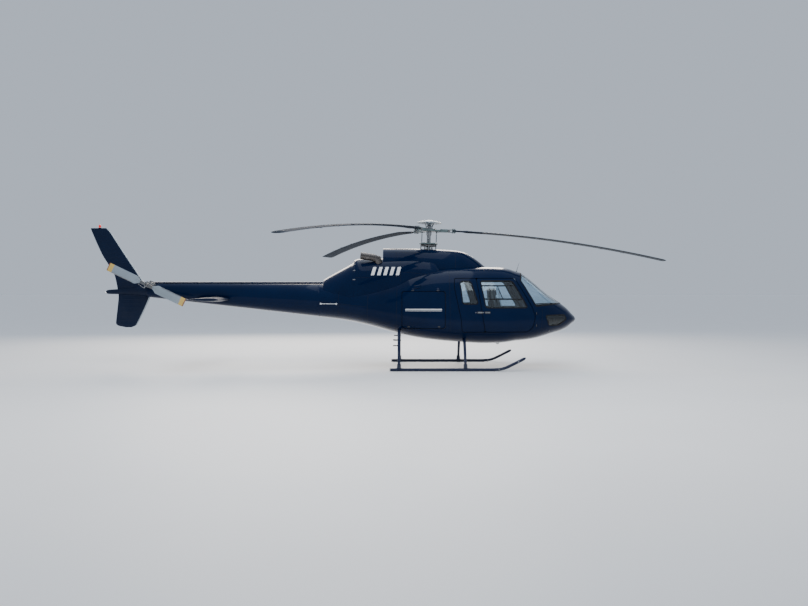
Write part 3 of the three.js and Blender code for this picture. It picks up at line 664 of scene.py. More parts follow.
def clearSkin(name, look):
    # acrylic and lamp lenses, with faint smears in the roughness
    colour = (*look["colour"], 1)
    material, tree, shader, place = newMaterial(name, {
        "Transmission Weight": look["clear"], "IOR": 1.49, "Base Color": colour,
        "Emission Strength": look.get("glow", 0.0), "Emission Color": colour})
    smear = useGroup(tree, scratches, {"Vector": place, "Scale": 7.0, "Amount": 1.0})["Mask"]
    feed(tree, shader, {"Roughness": spread(tree, smear, look["rough"], look["rough"] + 0.05)})
    return material


paints = {
    "navy": {"deep": (0.0005, 0.0042, 0.019), "light": (0.001, 0.0082, 0.034), "rough": 0.3, "coat": 1.0,
             "coatIndex": 1.16, "shine": 0.02, "dust": 0.04, "dustLow": 0.5, "dustHigh": 1.5,
             "dustColour": (0.05, 0.05, 0.055), "wave": 0.02},
    "tail": {"deep": (0.0018, 0.0055, 0.019), "light": (0.0036, 0.0105, 0.033), "rough": 0.5, "coat": 0.15,
             "coatIndex": 1.25, "shine": 0.1, "dust": 0.2, "dustLow": 0.8, "dustHigh": 2.6,
             "dustColour": (0.035, 0.037, 0.045)},
    "gear": {"deep": (0.003, 0.007, 0.026), "light": (0.006, 0.013, 0.043), "rough": 0.38, "coat": 0.6,
             "coatIndex": 1.3, "shine": 0.15, "dust": 0.3, "dustLow": 0.0, "dustHigh": 0.5,
             "dustColour": (0.06, 0.058, 0.056)},
    "pale": {"deep": (0.6, 0.62, 0.63), "light": (0.74, 0.76, 0.77), "rough": 0.4, "coat": 0.6,
             "dust": 0.2, "dustLow": 0.9, "dustHigh": 2.4, "dustColour": (0.25, 0.24, 0.22)},
    "bladeGrey": {"deep": (0.011, 0.016, 0.026), "light": (0.022, 0.031, 0.046), "rough": 0.7, "coat": 0.0,
                  "shine": 0.06, "dust": 0.2, "dustLow": 2.4, "dustHigh": 3.3,
                  "dustColour": (0.06, 0.06, 0.065)},
    "tailBlade": {"deep": (0.16, 0.2, 0.24), "light": (0.27, 0.32, 0.36), "rough": 0.5, "coat": 0.15,
                  "dust": 0.35, "dustLow": 1.0, "dustHigh": 2.8, "dustColour": (0.1, 0.1, 0.1)},
    "yellow": {"deep": (0.46, 0.3, 0.06), "light": (0.6, 0.42, 0.11), "rough": 0.5, "coat": 0.2,
               "dust": 0.4, "dustLow": 1.0, "dustHigh": 2.8, "dustColour": (0.12, 0.1, 0.07)},
    "oxide": {"deep": (0.16, 0.05, 0.03), "light": (0.24, 0.08, 0.05), "rough": 0.6, "coat": 0.1,
              "dust": 0.4, "dustLow": 1.0, "dustHigh": 2.8, "dustColour": (0.08, 0.06, 0.05)},
}
metals = {
    "rotorGreen": {"deep": (0.06, 0.09, 0.095), "light": (0.13, 0.17, 0.175), "bare": (0.3, 0.33, 0.33),
                   "rough": 0.45, "metal": 0.35},
    "steel": {"deep": (0.16, 0.165, 0.17), "light": (0.3, 0.305, 0.31), "bare": (0.5, 0.5, 0.5),
              "rough": 0.34, "metal": 1.0},
    "domeGrey": {"deep": (0.22, 0.26, 0.29), "light": (0.34, 0.38, 0.41), "bare": (0.5, 0.52, 0.53),
                 "rough": 0.36, "metal": 0.2, "lines": 0.25},
    "exhaustSteel": {"deep": (0.045, 0.04, 0.037), "light": (0.17, 0.155, 0.145), "bare": (0.34, 0.32, 0.3),
                     "rough": 0.38, "metal": 0.95, "lineScale": 18.0},
    "castGrey": {"deep": (0.1, 0.1, 0.105), "light": (0.2, 0.2, 0.2), "bare": (0.3, 0.3, 0.3),
                 "rough": 0.55, "metal": 0.7, "bump": 0.4},
    "edgeGrey": {"deep": (0.018, 0.022, 0.03), "light": (0.045, 0.052, 0.062), "bare": (0.12, 0.125, 0.13),
                 "rough": 0.5, "metal": 0.4},
    "wornShoe": {"deep": (0.12, 0.12, 0.12), "light": (0.3, 0.29, 0.28), "bare": (0.5, 0.5, 0.49),
                 "rough": 0.4, "metal": 0.9, "lines": 0.8},
}
softs = {
    "trim": {"deep": (0.018, 0.018, 0.02), "light": (0.035, 0.035, 0.038), "rough": 0.62, "scale": 500.0,
             "bump": 0.1},
    "lining": {"deep": (0.11, 0.11, 0.115), "light": (0.16, 0.16, 0.165), "rough": 0.7, "scale": 400.0,
               "bump": 0.1},
    "carpet": {"deep": (0.022, 0.023, 0.027), "light": (0.05, 0.052, 0.058), "rough": 0.95, "scale": 420.0,
               "bump": 0.9, "depth": 0.003},
    "leather": {"deep": (0.02, 0.019, 0.02), "light": (0.042, 0.04, 0.042), "rough": 0.45, "scale": 300.0,
                "bump": 0.15, "plain": {"Coat Weight": 0.15, "Coat Roughness": 0.35}},
    "rubber": {"deep": (0.003, 0.0032, 0.0038), "light": (0.007, 0.0073, 0.0085), "rough": 0.55,
               "scale": 120.0, "bump": 0.12, "plain": {"Specular IOR Level": 0.2}},
    "webbing": {"deep": (0.03, 0.03, 0.033), "light": (0.06, 0.06, 0.065), "rough": 0.85, "scale": 600.0,
                "bump": 0.7, "plain": {"Sheen Weight": 0.3}},
}
clears = {
    "acrylic": {"clear": 1.0, "colour": (0.6, 0.72, 0.8), "rough": 0.0},
    "tinted": {"clear": 1.0, "colour": (0.22, 0.28, 0.31), "rough": 0.0},
    "redLens": {"clear": 0.6, "colour": (0.75, 0.02, 0.015), "rough": 0.06, "glow": 0.25},
    "whiteLens": {"clear": 0.6, "colour": (0.9, 0.92, 0.95), "rough": 0.08, "glow": 0.15},
    "screen": {"clear": 0.0, "colour": (0.008, 0.01, 0.012), "rough": 0.08},
}
finish = {name: make(name, look) for make, looks in (
    (paint, paints), (metal, metals), (softSkin, softs), (clearSkin, clears)) for name, look in looks.items()}
print("materials made:", len(finish))


# Camera, light and floor

studio = {
    "cameraPlace": (0.576, -16.9, 1.713), "cameraPitch": 0.96, "lens": 33.37,
    "sky": (0.75, 0.85, 1.0), "skyStrength": 0.8, "floor": (0.84, 0.84, 0.84), "floorReach": 400.0,
    "lamps": [  # place, aimed at, width, depth, power, colour
        ((1.0, -9.0, 9.0), (0.0, 0.0, 1.2), 9.0, 5.0, 900.0, (1.0, 0.97, 0.93)),
        ((-2.0, 10.0, 7.0), (-1.0, 0.0, 1.6), 14.0, 4.0, 1500.0, (1.0, 0.9, 0.78)),
        ((0.0, 0.0, 11.0), (0.0, 0.0, 0.0), 15.0, 6.0, 700.0, (0.85, 0.92, 1.0)),
    ],
}


def makeStudio():
    scene = bpy.context.scene
    view = bpy.data.cameras.new("photoView")
    view.lens, view.sensor_width, view.sensor_fit = studio["lens"], 36, "HORIZONTAL"
    view.clip_end = 300
    camera = linked("photoView", view)
    camera.location = studio["cameraPlace"]
    camera.rotation_euler = (math.radians(90 - studio["cameraPitch"]), 0, 0)
    scene.camera = camera
    world = bpy.data.worlds.new("softSky")
    world.use_nodes = True
    # the sky that the camera sees has the tone of the far floor
    seen = addNode(world.node_tree, "ShaderNodeLightPath").outputs["Is Camera Ray"]
    far = tuple(shade * tone for shade, tone in zip(studio["floor"], studio["sky"]))
    sky = mixColours(world.node_tree, seen, studio["sky"], far)
    feed(world.node_tree, world.node_tree.nodes["Background"],
         {"Color": sky, "Strength": studio["skyStrength"]})
    scene.world = world
    for k, (place, target, width, depth, power, colour) in enumerate(studio["lamps"]):
        lamp = bpy.data.lights.new(f"softbox{k}", "AREA")
        lamp.shape, lamp.size, lamp.size_y = "RECTANGLE", width, depth
        lamp.energy, lamp.color = power, colour
        thing = linked(f"softbox{k}", lamp)
        thing.location = place
        thing.visible_glossy = k > 0
        aim = np.array(target) - np.array(place)
        flat = math.hypot(aim[0], aim[1])
        pitch, turn = math.atan2(aim[2], flat), math.atan2(aim[1], aim[0])
        thing.rotation_euler = (math.pi / 2 + pitch, 0, turn - math.pi / 2)


def makeFloor():
    # a level sheet, its rows of points closer together near the middle: distance = reach * share cubed
    line = studio["floorReach"] * np.linspace(-1, 1, 25) ** 3
    grid = np.stack(np.broadcast_arrays(line[None, :], line[:, None], 0.0), axis=-1)
    shape = shapeFrom(grid, gridQuads(np.arange(grid.size // 3).reshape(grid.shape[:2])))
    material, tree, shader, place = newMaterial("studioFloor", {"Roughness": 0.55})
    tone = useGroup(tree, grain, {"Vector": place, "Scale": 20.0, "Drift": 0.6})["Tone"]
    low = tuple(0.94 * value for value in studio["floor"])
    feed(tree, shader, {"Base Color": mixColours(tree, tone, low, studio["floor"])})
    floor = linked("studioFloor", meshFrom("studioFloor", [(shape, 0)], 80))
    floor.data.materials.append(material)


makeStudio()
makeFloor()
print("studio ready")


# Fuselage

hull = {
    "wall": 0.04, "doorGap": 0.012, "floor": 0.8, "bulkhead": 0.46, "cabinRear": 0.5, "around": 168,
    "steps": 250,
    "rows": [  # x, bottom, top, half width, widest height, roundness below and above it
        (3.309, 1.066, 1.086, 0.018, 1.076, 2.0, 2.0),
        (3.305, 1.050, 1.102, 0.048, 1.076, 2.0, 2.0), (3.272, 1.008, 1.145, 0.165, 1.078, 2.0, 2.0),
        (3.200, 0.955, 1.217, 0.290, 1.082, 2.0, 2.0), (3.077, 0.863, 1.341, 0.420, 1.090, 2.1, 2.1),
        (2.951, 0.806, 1.436, 0.512, 1.095, 2.2, 2.1), (2.729, 0.742, 1.584, 0.628, 1.105, 2.3, 2.2),
        (2.540, 0.685, 1.736, 0.705, 1.112, 2.4, 2.3), (2.366, 0.640, 1.887, 0.760, 1.118, 2.5, 2.4),
        (2.206, 0.613, 2.013, 0.800, 1.122, 2.6, 2.5), (2.060, 0.598, 2.112, 0.830, 1.126, 2.7, 2.6),
        (1.930, 0.588, 2.152, 0.853, 1.130, 2.8, 2.7), (1.760, 0.564, 2.203, 0.880, 1.132, 2.9, 2.8),
        (1.560, 0.545, 2.230, 0.904, 1.134, 3.0, 2.9), (1.200, 0.537, 2.238, 0.925, 1.136, 3.0, 3.0),
        (0.620, 0.569, 2.238, 0.932, 1.140, 3.0, 3.0), (0.135, 0.610, 2.210, 0.925, 1.165, 2.9, 3.0),
        (-0.348, 0.679, 2.120, 0.892, 1.205, 2.8, 2.9), (-0.833, 0.799, 1.930, 0.815, 1.270, 2.6, 2.7),
        (-1.357, 0.941, 1.825, 0.700, 1.350, 2.4, 2.5), (-1.840, 1.041, 1.820, 0.572, 1.430, 2.2, 2.3),
        (-2.444, 1.122, 1.872, 0.397, 1.500, 2.0, 2.0)],
}
doorFront = [(1.855, 1.98), (2.215, 1.36), (2.29, 1.15), (2.23, 0.9), (2.12, 0.812)]
doorRear = [(0.69, 0.812), (0.665, 1.1), (0.59, 1.45), (0.522, 1.78), (0.53, 1.98)]
doorSplit = [(1.19, 0.812), (1.0, 1.98)]
splitMoved = lambda move: [(x + move, z) for x, z in doorSplit]
openings = {  # corners as x and z, and the radius of the corners
    "doorway": ([*doorFront, *doorRear], 0.045),
    "frontDoor": ([*doorFront, *splitMoved(-hull["doorGap"] / 2)], 0.045),
    "rearDoor": ([*splitMoved(hull["doorGap"] / 2)[::-1], *doorRear], 0.035),
    "holdDoor": ([(-0.6, 1.7), (0.34, 1.7), (0.34, 0.89), (-0.6, 0.89)], 0.06),
    "frontWindow": ([(1.09, 1.92), (1.785, 1.92), (2.115, 1.34), (1.2, 1.34)], 0.06),
    "rearWindow": ([(0.65, 1.91), (0.88, 1.91), (1.04, 1.42), (0.71, 1.42)], 0.065),
    "chinWindow": ([(2.52, 1.17), (2.96, 1.185), (3.02, 1.09), (2.83, 0.955), (2.6, 0.95)], 0.04),
    "windscreen": ([(2.305, 1.375), (1.985, 1.93), (2.02, 2.05), (2.075, 2.25), (3.4, 2.25), (3.4, 1.478)],
                   0.045),
}
hullTable = skinTable(hull["rows"], hull["steps"])
words = {-1: "right", 1: "left"}


def outline(name, grow=0.0):
    points, radius = openings[name]
    return roundedOutline(points, radius, grow)


def skinPiece(name, shape, table, materials, node, body="airframe", wall=0.04):
    piece(name, skinFinish(shape, table, name, wall), materials, body, [node])


def makeFuselage():
    around, floorZ, bulkhead = hull["around"], hull["floor"], hull["bulkhead"]
    touch, far, wide, high = 0.0003, 4.0, 1.5, 3.0
    solid = skinShape(hullTable, around)
    inside = skinShape(hullTable, around, -hull["wall"], frontCut=3.22)
    room = boxShape(hull["cabinRear"], far, -wide, wide, floorZ, high)
    cabinHollow = shapeOf(carve(inside, [("INTERSECT", room)]))
    shell = shapeOf(carve(solid, [
        ("INTERSECT", boxShape(bulkhead + touch, far, -wide, wide, floorZ, high)),
        ("DIFFERENCE", cabinHollow), ("DIFFERENCE", bothPrisms(outline("doorway"))),
        ("DIFFERENCE", bothPrisms(outline("chinWindow"))),
        ("DIFFERENCE", bothPrisms(outline("windscreen"), 0.034))]))
    # the cut edges take the black rubber finish although the real edges are painted navy: their darkness is
    # painted shade in the door gaps
    skinPiece("cabinShell", shell, hullTable, "navy rubber lining", "cabin_shell")
    belly = shapeOf(carve(solid, [("INTERSECT", boxShape(-0.9, far, -wide, wide, 0.0, floorZ - touch))]))
    skinPiece("bellyAndFloor", belly, hullTable, "navy carpet carpet", "lower_fuselage")
    middle = shapeOf(carve(solid, [
        ("INTERSECT", boxShape(-2.449, bulkhead, -wide, wide, floorZ, high)),
        ("DIFFERENCE", bothPrisms(outline("holdDoor"), 0.4)),
        ("DIFFERENCE", boxShape(-1.96, -0.4, -0.48, 0.48, 1.79, high)),
        ("DIFFERENCE", boxShape(-0.32, 0.32, -0.3, 0.3, 1.75, high))]))
    skinPiece("centreFuselage", middle, hullTable, "navy lining lining", "centre_fuselage")
    return solid, inside


def makeDoors(solid, inside):
    skin = shapeOf(carve(solid, [("DIFFERENCE", inside),
                                 ("INTERSECT", boxShape(-0.7, 3.4, -1.5, 1.5, 0.0, 3.0))]))
    for name, window, node in (("frontDoor", "frontWindow", "front_door"),
                               ("rearDoor", "rearWindow", "rear_door"), ("holdDoor", None, "hold_door")):
        steps = [("INTERSECT", bothPrisms(outline(name, -hull["doorGap"])))]
        if window:
            steps.append(("DIFFERENCE", bothPrisms(outline(window))))
        pair = shapeOf(carve(skin, steps))
        for side, word in words.items():
            # as on the shell, the doors' cut edges take the black rubber finish: painted shade in the gaps,
            # where the real edges are navy
            skinPiece(f"{name}_{word}", onSide(pair, side), hullTable, "navy rubber lining", f"{node}_{word}",
                      f"{node}_{word}")


def makeGlass():
    # panes between two skins just under the painted one
    outer = skinShape(hullTable, hull["around"], -0.006, frontCut=3.28)
    inner = skinShape(hullTable, hull["around"], -0.011, frontCut=3.3)
    for window, node, y0, glass in (
            ("frontWindow", "front_door_pane", 0.03, "acrylic"),
            ("rearWindow", "rear_door_pane", 0.03, "acrylic"), ("chinWindow", "chin_window", 0.03, "tinted"),
            ("windscreen", "windscreen", 0.0343, "acrylic")):
        cutters = bothPrisms(outline(window, -0.0003), y0)
        pair = shapeOf(carve(outer, [("DIFFERENCE", inner), ("INTERSECT", cutters)]))
        for side, word in words.items():
            body = f"{node[:-5]}_{word}" if "door" in node else "airframe"
            skinPiece(f"{window}_{word}", onSide(pair, side), hullTable, f"{glass} {glass} {glass}",
                      f"{node}_{word}", body, 0.0085)


solidHull, hullInside = makeFuselage()
print("fuselage cut")
makeDoors(solidHull, hullInside)
makeGlass()
print("doors and panes cut")


# Cowls over the gearbox and the engines

cowls = {
    "around": 144, "wall": 0.025, "mouth": 0.215,
    "gearbox": [  # columns as in the hull's rows
        (1.352, 1.90, 2.190, 0.070, 2.05, 2.0, 2.0), (1.263, 1.85, 2.256, 0.210, 2.0, 2.0, 2.0),
        (1.125, 1.80, 2.370, 0.300, 2.0, 2.0, 2.1), (0.981, 1.75, 2.471, 0.365, 2.0, 2.0, 2.2),
        (0.780, 1.75, 2.572, 0.430, 2.0, 2.0, 2.4), (0.617, 1.75, 2.604, 0.462, 2.0, 2.0, 2.6),
        (-0.028, 1.75, 2.640, 0.480, 2.0, 2.0, 2.8), (-0.511, 1.75, 2.653, 0.470, 2.0, 2.0, 2.8),
        (-1.014, 1.75, 2.656, 0.440, 2.0, 2.0, 2.8)],
    "engine": [
        (0.215, 1.25, 2.290, 0.640, 1.6, 2.0, 3.4), (0.120, 1.25, 2.385, 0.655, 1.6, 2.0, 3.2),
        (-0.150, 1.25, 2.450, 0.662, 1.6, 2.0, 3.0), (-0.500, 1.25, 2.456, 0.664, 1.6, 2.0, 2.9),
        (-1.014, 1.25, 2.438, 0.640, 1.6, 2.0, 2.8), (-1.580, 1.25, 2.420, 0.600, 1.6, 2.0, 2.6),
        (-1.729, 1.25, 2.311, 0.575, 1.6, 2.0, 2.5), (-2.000, 1.25, 2.157, 0.478, 1.6, 2.0, 2.3),
        (-2.255, 1.25, 2.015, 0.385, 1.6, 2.0, 2.2), (-2.345, 1.25, 1.962, 0.350, 1.6, 2.0, 2.1)],
    "strapX": -1.64, "meshPitch": 0.022, "meshWire": 0.0022,
}
gearboxTable = skinTable(cowls["gearbox"], 150)
engineTable = skinTable(cowls["engine"], 170)


def longer(table, front=0.0, rear=0.0):
    # the same sections with the end ones carried further
    first, last = table[0].copy(), table[-1].copy()
    first[0] += front
    last[0] -= rear
    return np.concatenate([*([first[None]] if front else []), table, *([last[None]] if rear else [])])


def makeCowls():
    around, wall, mouth = cowls["around"], cowls["wall"], cowls["mouth"]
    gearbox, engine = skinShape(gearboxTable, around), skinShape(engineTable, around)
    hullGrown = skinShape(hullTable, around, 0.002)
    gearboxGrown = skinShape(longer(gearboxTable, rear=0.002), around, 0.003)
    gearboxInside = skinShape(gearboxTable[gearboxTable[:, 0] > mastX - 0.98], around, -wall)
    hole = lathe([(mouth, 2.45), (mouth, 2.9)], 64, (mastX, 0, 0))
    top = shapeOf(carve(gearbox, [("DIFFERENCE", gearboxInside), ("DIFFERENCE", hullGrown),
                                  ("DIFFERENCE", hole)]))
    skinPiece("gearboxCowl", top, gearboxTable, "navy trim trim", "gearbox_cowl", wall=wall)
    inner = skinShape(longer(engineTable[engineTable[:, 0] > mastX - 2.31], front=0.08), around, -wall)
    halves = joined([boxShape(-3, 1, 0.0008, 1.5, 0, 3), boxShape(-3, 1, -1.5, -0.0008, 0, 3)])
    whole = shapeOf(carve(engine, [("DIFFERENCE", inner), ("DIFFERENCE", hullGrown),
                                   ("DIFFERENCE", gearboxGrown), ("INTERSECT", halves)]))
    for side, word in words.items():
        skinPiece(f"engineCowl_{word}", onSide(whole, side), engineTable, "navy trim trim",
                  f"engine_cowl_{word}", wall=wall)
    makeIntakeMesh([("INTERSECT", inner), ("DIFFERENCE", hullGrown), ("DIFFERENCE", gearboxGrown)])


def makeIntakeMesh(steps):
    # upright and level wires across the air intake, trimmed to the space between the cowls
    pitch, wire, x = cowls["meshPitch"], cowls["meshWire"], 0.13
    across, up = np.arange(-0.66, 0.66, pitch), np.arange(1.9, 2.45, pitch)
    upright = joined([boxShape(x, x + wire, y, y + wire, 1.8, 2.5) for y in across])
    level = joined([boxShape(x + wire, x + 2 * wire, -0.7, 0.7, z, z + wire) for z in up])
    piece("intakeMesh", [(shapeOf(carve(wires, steps)), 0) for wires in (upright, level)], "steel",
          smoothAngle=20)


makeCowls()
print("cowls cut")


# Tail boom, cone, fins and stabiliser

tail = {
    "boom": [(-2.4443, 1.122, 1.872, 0.397, 1.5, 2.0, 2.0), (-3.6, 1.253, 1.872, 0.326, 1.563, 2.0, 2.0),
             (-4.9, 1.401, 1.872, 0.249, 1.637, 2.0, 2.0), (-6.29, 1.558, 1.872, 0.167, 1.715, 2.0, 2.0)],
    "cone": [(-6.2903, 1.558, 1.872, 0.167, 1.715, 2.0, 2.0), (-6.52, 1.594, 1.815, 0.112, 1.706, 2.0, 2.0),
             (-6.9, 1.626, 1.752, 0.062, 1.69, 2.0, 2.0), (-7.215, 1.634, 1.728, 0.045, 1.681, 2.0, 2.0),
             (-7.265, 1.655, 1.707, 0.025, 1.681, 2.0, 2.0)],
    "frames": (-2.47, -3.02, -3.6, -4.2, -4.9, -5.55, -6.27),
    "coverTop": 1.909, "coverHalf": 0.058, "coverFront": -2.35, "coverRear": -6.42,
    "coverSplits": (-3.15, -3.95, -4.75, -5.55),
    "upperFin": [(1.64, -6.24, -6.99, 0.096), (2.027, -6.498, -7.067, 0.084), (2.541, -6.84, -7.36, 0.066),
                 (3.06, -7.185, -7.588, 0.048), (3.11, -7.245, -7.606, 0.03)],
    "lowerFin": [(1.72, -6.24, -6.99, 0.096), (1.56, -6.275, -6.99, 0.09), (0.99, -6.545, -7.05, 0.056),
                 (0.925, -6.59, -7.01, 0.044), (0.882, -6.7, -6.83, 0.02)],
    "ribPitch": 0.095, "ribHeight": 0.0045,
    "stabiliser": [(0.15, 0.0, 0.084), (1.215, 0.0, 0.07), (1.25, 0.008, 0.058), (1.265, 0.03, 0.036)],
    "stabiliserLead": -4.43, "stabiliserChord": 0.72, "stabiliserZ": 1.52,
}
boomTable = skinTable(tail["boom"], 60)
coneTable = skinTable(tail["cone"], 60)


def aerofoilLoop(count=26):
    # half thickness a sqrt(s) + b s + c s^2 + d s^3 + e s^4 over chord shares s, round both sides
    s = 0.5 * (1 - np.cos(np.linspace(0, np.pi, count)))
    bulge = 0.2969 * np.sqrt(s) - 0.126 * s - 0.3516 * s ** 2 + 0.2843 * s ** 3 - 0.1036 * s ** 4
    half = 5 * bulge + 0.01 * s
    upper, lower = np.stack([s, half], axis=1), np.stack([s[::-1], -half[::-1]], axis=1)
    return np.concatenate([upper, lower[:-1]])


def nearestRing(table, x, around):
    row = table[np.argmin(np.abs(table[:, 0] - x - mastX))]
    return sectionGrid(row[None], around)[0]


def hoopShape(table, x, width, low, high, around=96):
    # a flat strap that runs round a skin at one station
    ring = nearestRing(table, x, around)
    w = width / 2
    profile = np.array([[-w, low], [-w, high * 0.7], [-w * 0.85, high], [w * 0.85, high], [w, high * 0.7],
                        [w, low]])
    return gridShape(carried(ring, profile, np.array([[1.0, 0, 0]]), skinNormal(table, ring)), ring=True)


def hoopRivets(table, x, count, radius=0.003):
    ring = nearestRing(table, x, count)
    ring = ring + [x + mastX - ring[0, 0], 0, 0]
    return rivetShape(ring, skinNormal(table, ring), radius)


def finGrid(rows, count, ribs=None):
    # aerofoils over height; ribs are raised beads, cos^4 across their width, faded at both edges of the chord
    table = smoothCurve(rows, count)
    z, lead, trail, thick = (column[:, None] for column in table.T)
    loop = aerofoilLoop()
    s, half = loop[None, :, 0], loop[None, :, 1] * thick
    if ribs:
        beat = np.clip(np.cos(2 * np.pi * z / tail["ribPitch"]), 0, 1) ** 4
        fade = np.clip((s - 0.16) / 0.06, 0, 1) * np.clip((0.9 - s) / 0.06, 0, 1)
        half = half + np.sign(half) * ribs * beat * fade
    return np.stack([lead - (lead - trail) * s + mastX, half, z + 0 * s], axis=-1)


def makeTail():
    boom = [skinShape(boomTable, 144), hoopShape(boomTable, -2.447, 0.03, -0.002, 0.003)]
    boom += [hoopRivets(boomTable, x + dx, 90) for x in tail["frames"] for dx in (-0.012, 0.012)]
    boom += [rivetRow(boomTable, [(-2.5, z0), (-6.25, z1)], side, 0.05, 0.003)
             for side in words for z0, z1 in ((1.62, 1.76), (1.36, 1.64))]
    piece("tailBoom", [(shape, 0) for shape in boom], "navy", replaced=["tail_boom"])
    tip = lathe([(0.0001, -0.03), (0.013, -0.026), (0.02, -0.012), (0.022, 0.004), (0.001, 0.006)], 32,
                (mastX - 7.262, 0, 1.681), "x")
    piece("tailConeAndLamp", [(skinShape(coneTable, 96), 0),
                              (hoopShape(coneTable, -6.3, 0.024, -0.002, 0.002), 0), (tip, 1)],
          "tail whiteLens", replaced=["tail_cone"])
    makeShaftCover()
    makeFins()
    makeStabiliser()


def makeShaftCover():
    # y = half cos^0.8, z = height sin^0.75, shrinking to nothing at both ends
    front, rear, half, bottom = tail["coverFront"], tail["coverRear"], tail["coverHalf"], 1.8723
    height = tail["coverTop"] - bottom
    x = np.linspace(front, rear, 240)[:, None]
    close = np.clip(np.minimum(front - x, x - rear) / 0.05, 0, 1)
    size = np.sqrt(1 - (1 - close) ** 2) * 0.98 + 0.02
    angle = np.linspace(0, np.pi, 25)
    y = half * np.sign(np.cos(angle)) * np.abs(np.cos(angle)) ** 0.8
    z = np.clip(np.sin(angle), 0, 1) ** 0.75
    parts = [(gridShape(np.stack([x + mastX + 0 * y, size * y, bottom + size * height * z], axis=-1)), 0)]
    strap = np.stack([y * 1.03, z * (height + 0.0004)], axis=1)
    for split in tail["coverSplits"]:
        path = [(split + mastX + dx, 0, bottom) for dx in (-0.012, -0.004, 0.004, 0.012)]
        studs = [(split + mastX, side * 0.05, 1.887) for side in words]
        heads = rivetShape(studs, [(0, side, 0.25) for side in words], 0.005, 0.003)
        parts += [(sweep(strap, path), 0), (heads, 1)]
    piece("driveShaftCover", parts, "navy steel", replaced=["drive_shaft_cover"])


def noseOf(loop, picked):
    # the numbers of the loop's points at its leading edge, in order from the lower side to the upper
    picked = np.where(picked)[0]
    return np.concatenate([picked[picked > len(loop) // 2], picked[picked <= len(loop) // 2]])


def makeFins():
    loop = aerofoilLoop()
    for name, node in (("upperFin", "upper_fin"), ("lowerFin", "lower_fin")):
        grid = finGrid(tail[name], 260, tail["ribHeight"])
        edge = grid[4:-8][:, noseOf(loop, loop[:, 0] < 0.06)]
        middle = edge.mean(axis=1, keepdims=True)
        cap = slabShape(middle + (edge - middle) * [1.02, 1.05, 1], middle + (edge - middle) * 0.97)
        parts = [(gridShape(grid), 0), (cap, 1)]
        if name == "upperFin":
            top = grid[-1].mean(axis=0)
            lid = (grid[-1:] - top) * [0.97, 0.5, 1] + top + [0, 0, 0.006]
            parts.append((gridShape(np.concatenate([grid[-1:] + [0, 0, 0.0005], lid])), 0))
        piece(name, parts, "tail domeGrey", replaced=[node])


def makeStabiliser():
    # aerofoils over span with raised beads, cos^4 across their width, faded at both edges of the chord
    out, back, thick = (column[:, None] for column in smoothCurve(tail["stabiliser"], 150).T)
    loop = aerofoilLoop(30)
    chord, lead, s = tail["stabiliserChord"], tail["stabiliserLead"], loop[None, :, 0]
    beads = np.clip(np.cos(2 * np.pi * out / 0.09), 0, 1) ** 4 * 0.002
    fade = np.clip((s - 0.2) / 0.05, 0, 1) * np.clip((0.85 - s) / 0.05, 0, 1)
    half = loop[None, :, 1] * thick
    half = half + np.sign(half) * beads * fade
    x = lead - back - (chord - 2 * back) * s + mastX
    grid = np.stack([x, out + 0 * x, tail["stabiliserZ"] + half], axis=-1)
    scaled = lambda k, size: (grid[k] - grid[k].mean(axis=0)) * size
    tip = gridShape(np.stack([grid[-1], scaled(-1, [0.97, 1, 0.5]) + grid[-1].mean(axis=0) + [0, 0.0004, 0]]))
    root = gridShape(np.stack([grid[20] + scaled(20, [0.03, 0, 0.4]),
                               grid[26] + scaled(26, [0.005, 0, 0.06])]))
    parts = [(gridShape(grid), 0), (tip, 0), (root, 0)]
    for side, word in words.items():
        piece(f"stabiliser_{word}", parts if side > 0 else each(parts, mirrored), "tail",
              replaced=[f"stabiliser_{word}"])


makeTail()
print("tail ready")


# Main rotor, made level about its hub and then tilted and raised as one

rotor = {
    "tilt": 2.0, "base": 2.64, "radius": 5.345, "root": 0.525, "bladeZ": 0.425, "chord": 0.35, "thick": 0.12,
    "azimuths": (0, 120, 240), "starArm": 0.42, "starHalf": 0.062, "starDisc": 0.165,
    "tabs": ((3.3, 3.5), (3.9, 4.1), (4.4, 4.6)), "pins": (0.545, 0.585),
}


def onRotor(shape, azimuth=0.0):
    place = lambda p: spun(spun(p, "z", azimuth), "y", rotor["tilt"]) + [mastX, 0, rotor["base"]]
    return moved(shape, place)


def bladeSections(count, first, last):
    # droop is 0.016 s + 0.0185 s^2 beyond 0.6, and the neck flares by the smooth step 3 t^2 - 2 t^3
    r = np.linspace(first, last, count)
    out = np.clip(r - 0.6, 0, None)
    droop = 0.016 * out + 0.0185 * out ** 2
    flare = np.clip((r - 0.72) / 0.26, 0, 1)
    flare = flare ** 2 * (3 - 2 * flare)
    share = 0.3 + 0.7 * flare
    tip = np.clip((r - (rotor["radius"] - 0.06)) / 0.06, 0, 1)
    chord = rotor["chord"] * share * (1 - 0.16 * tip ** 2)
    thick = chord * (0.31 + (rotor["thick"] - 0.31) * flare) * (1 - 0.5 * tip ** 3)
    lead = -0.25 * rotor["chord"] + 0.03 * (1 - flare) + 0.02 * tip ** 2
    return r[:, None], droop[:, None], chord[:, None], thick[:, None], lead[:, None]


def bladeGrid(loop, count, first, last, grow=0.0):
    r, droop, chord, thick, lead = bladeSections(count, first, last)
    y = lead + loop[None, :, 0] * chord - grow * (loop[None, :, 0] < 0.001)
    z = rotor["bladeZ"] - droop + loop[None, :, 1] * thick + np.sign(loop[None, :, 1]) * grow
    return np.stack([r + 0 * y, y, z], axis=-1)


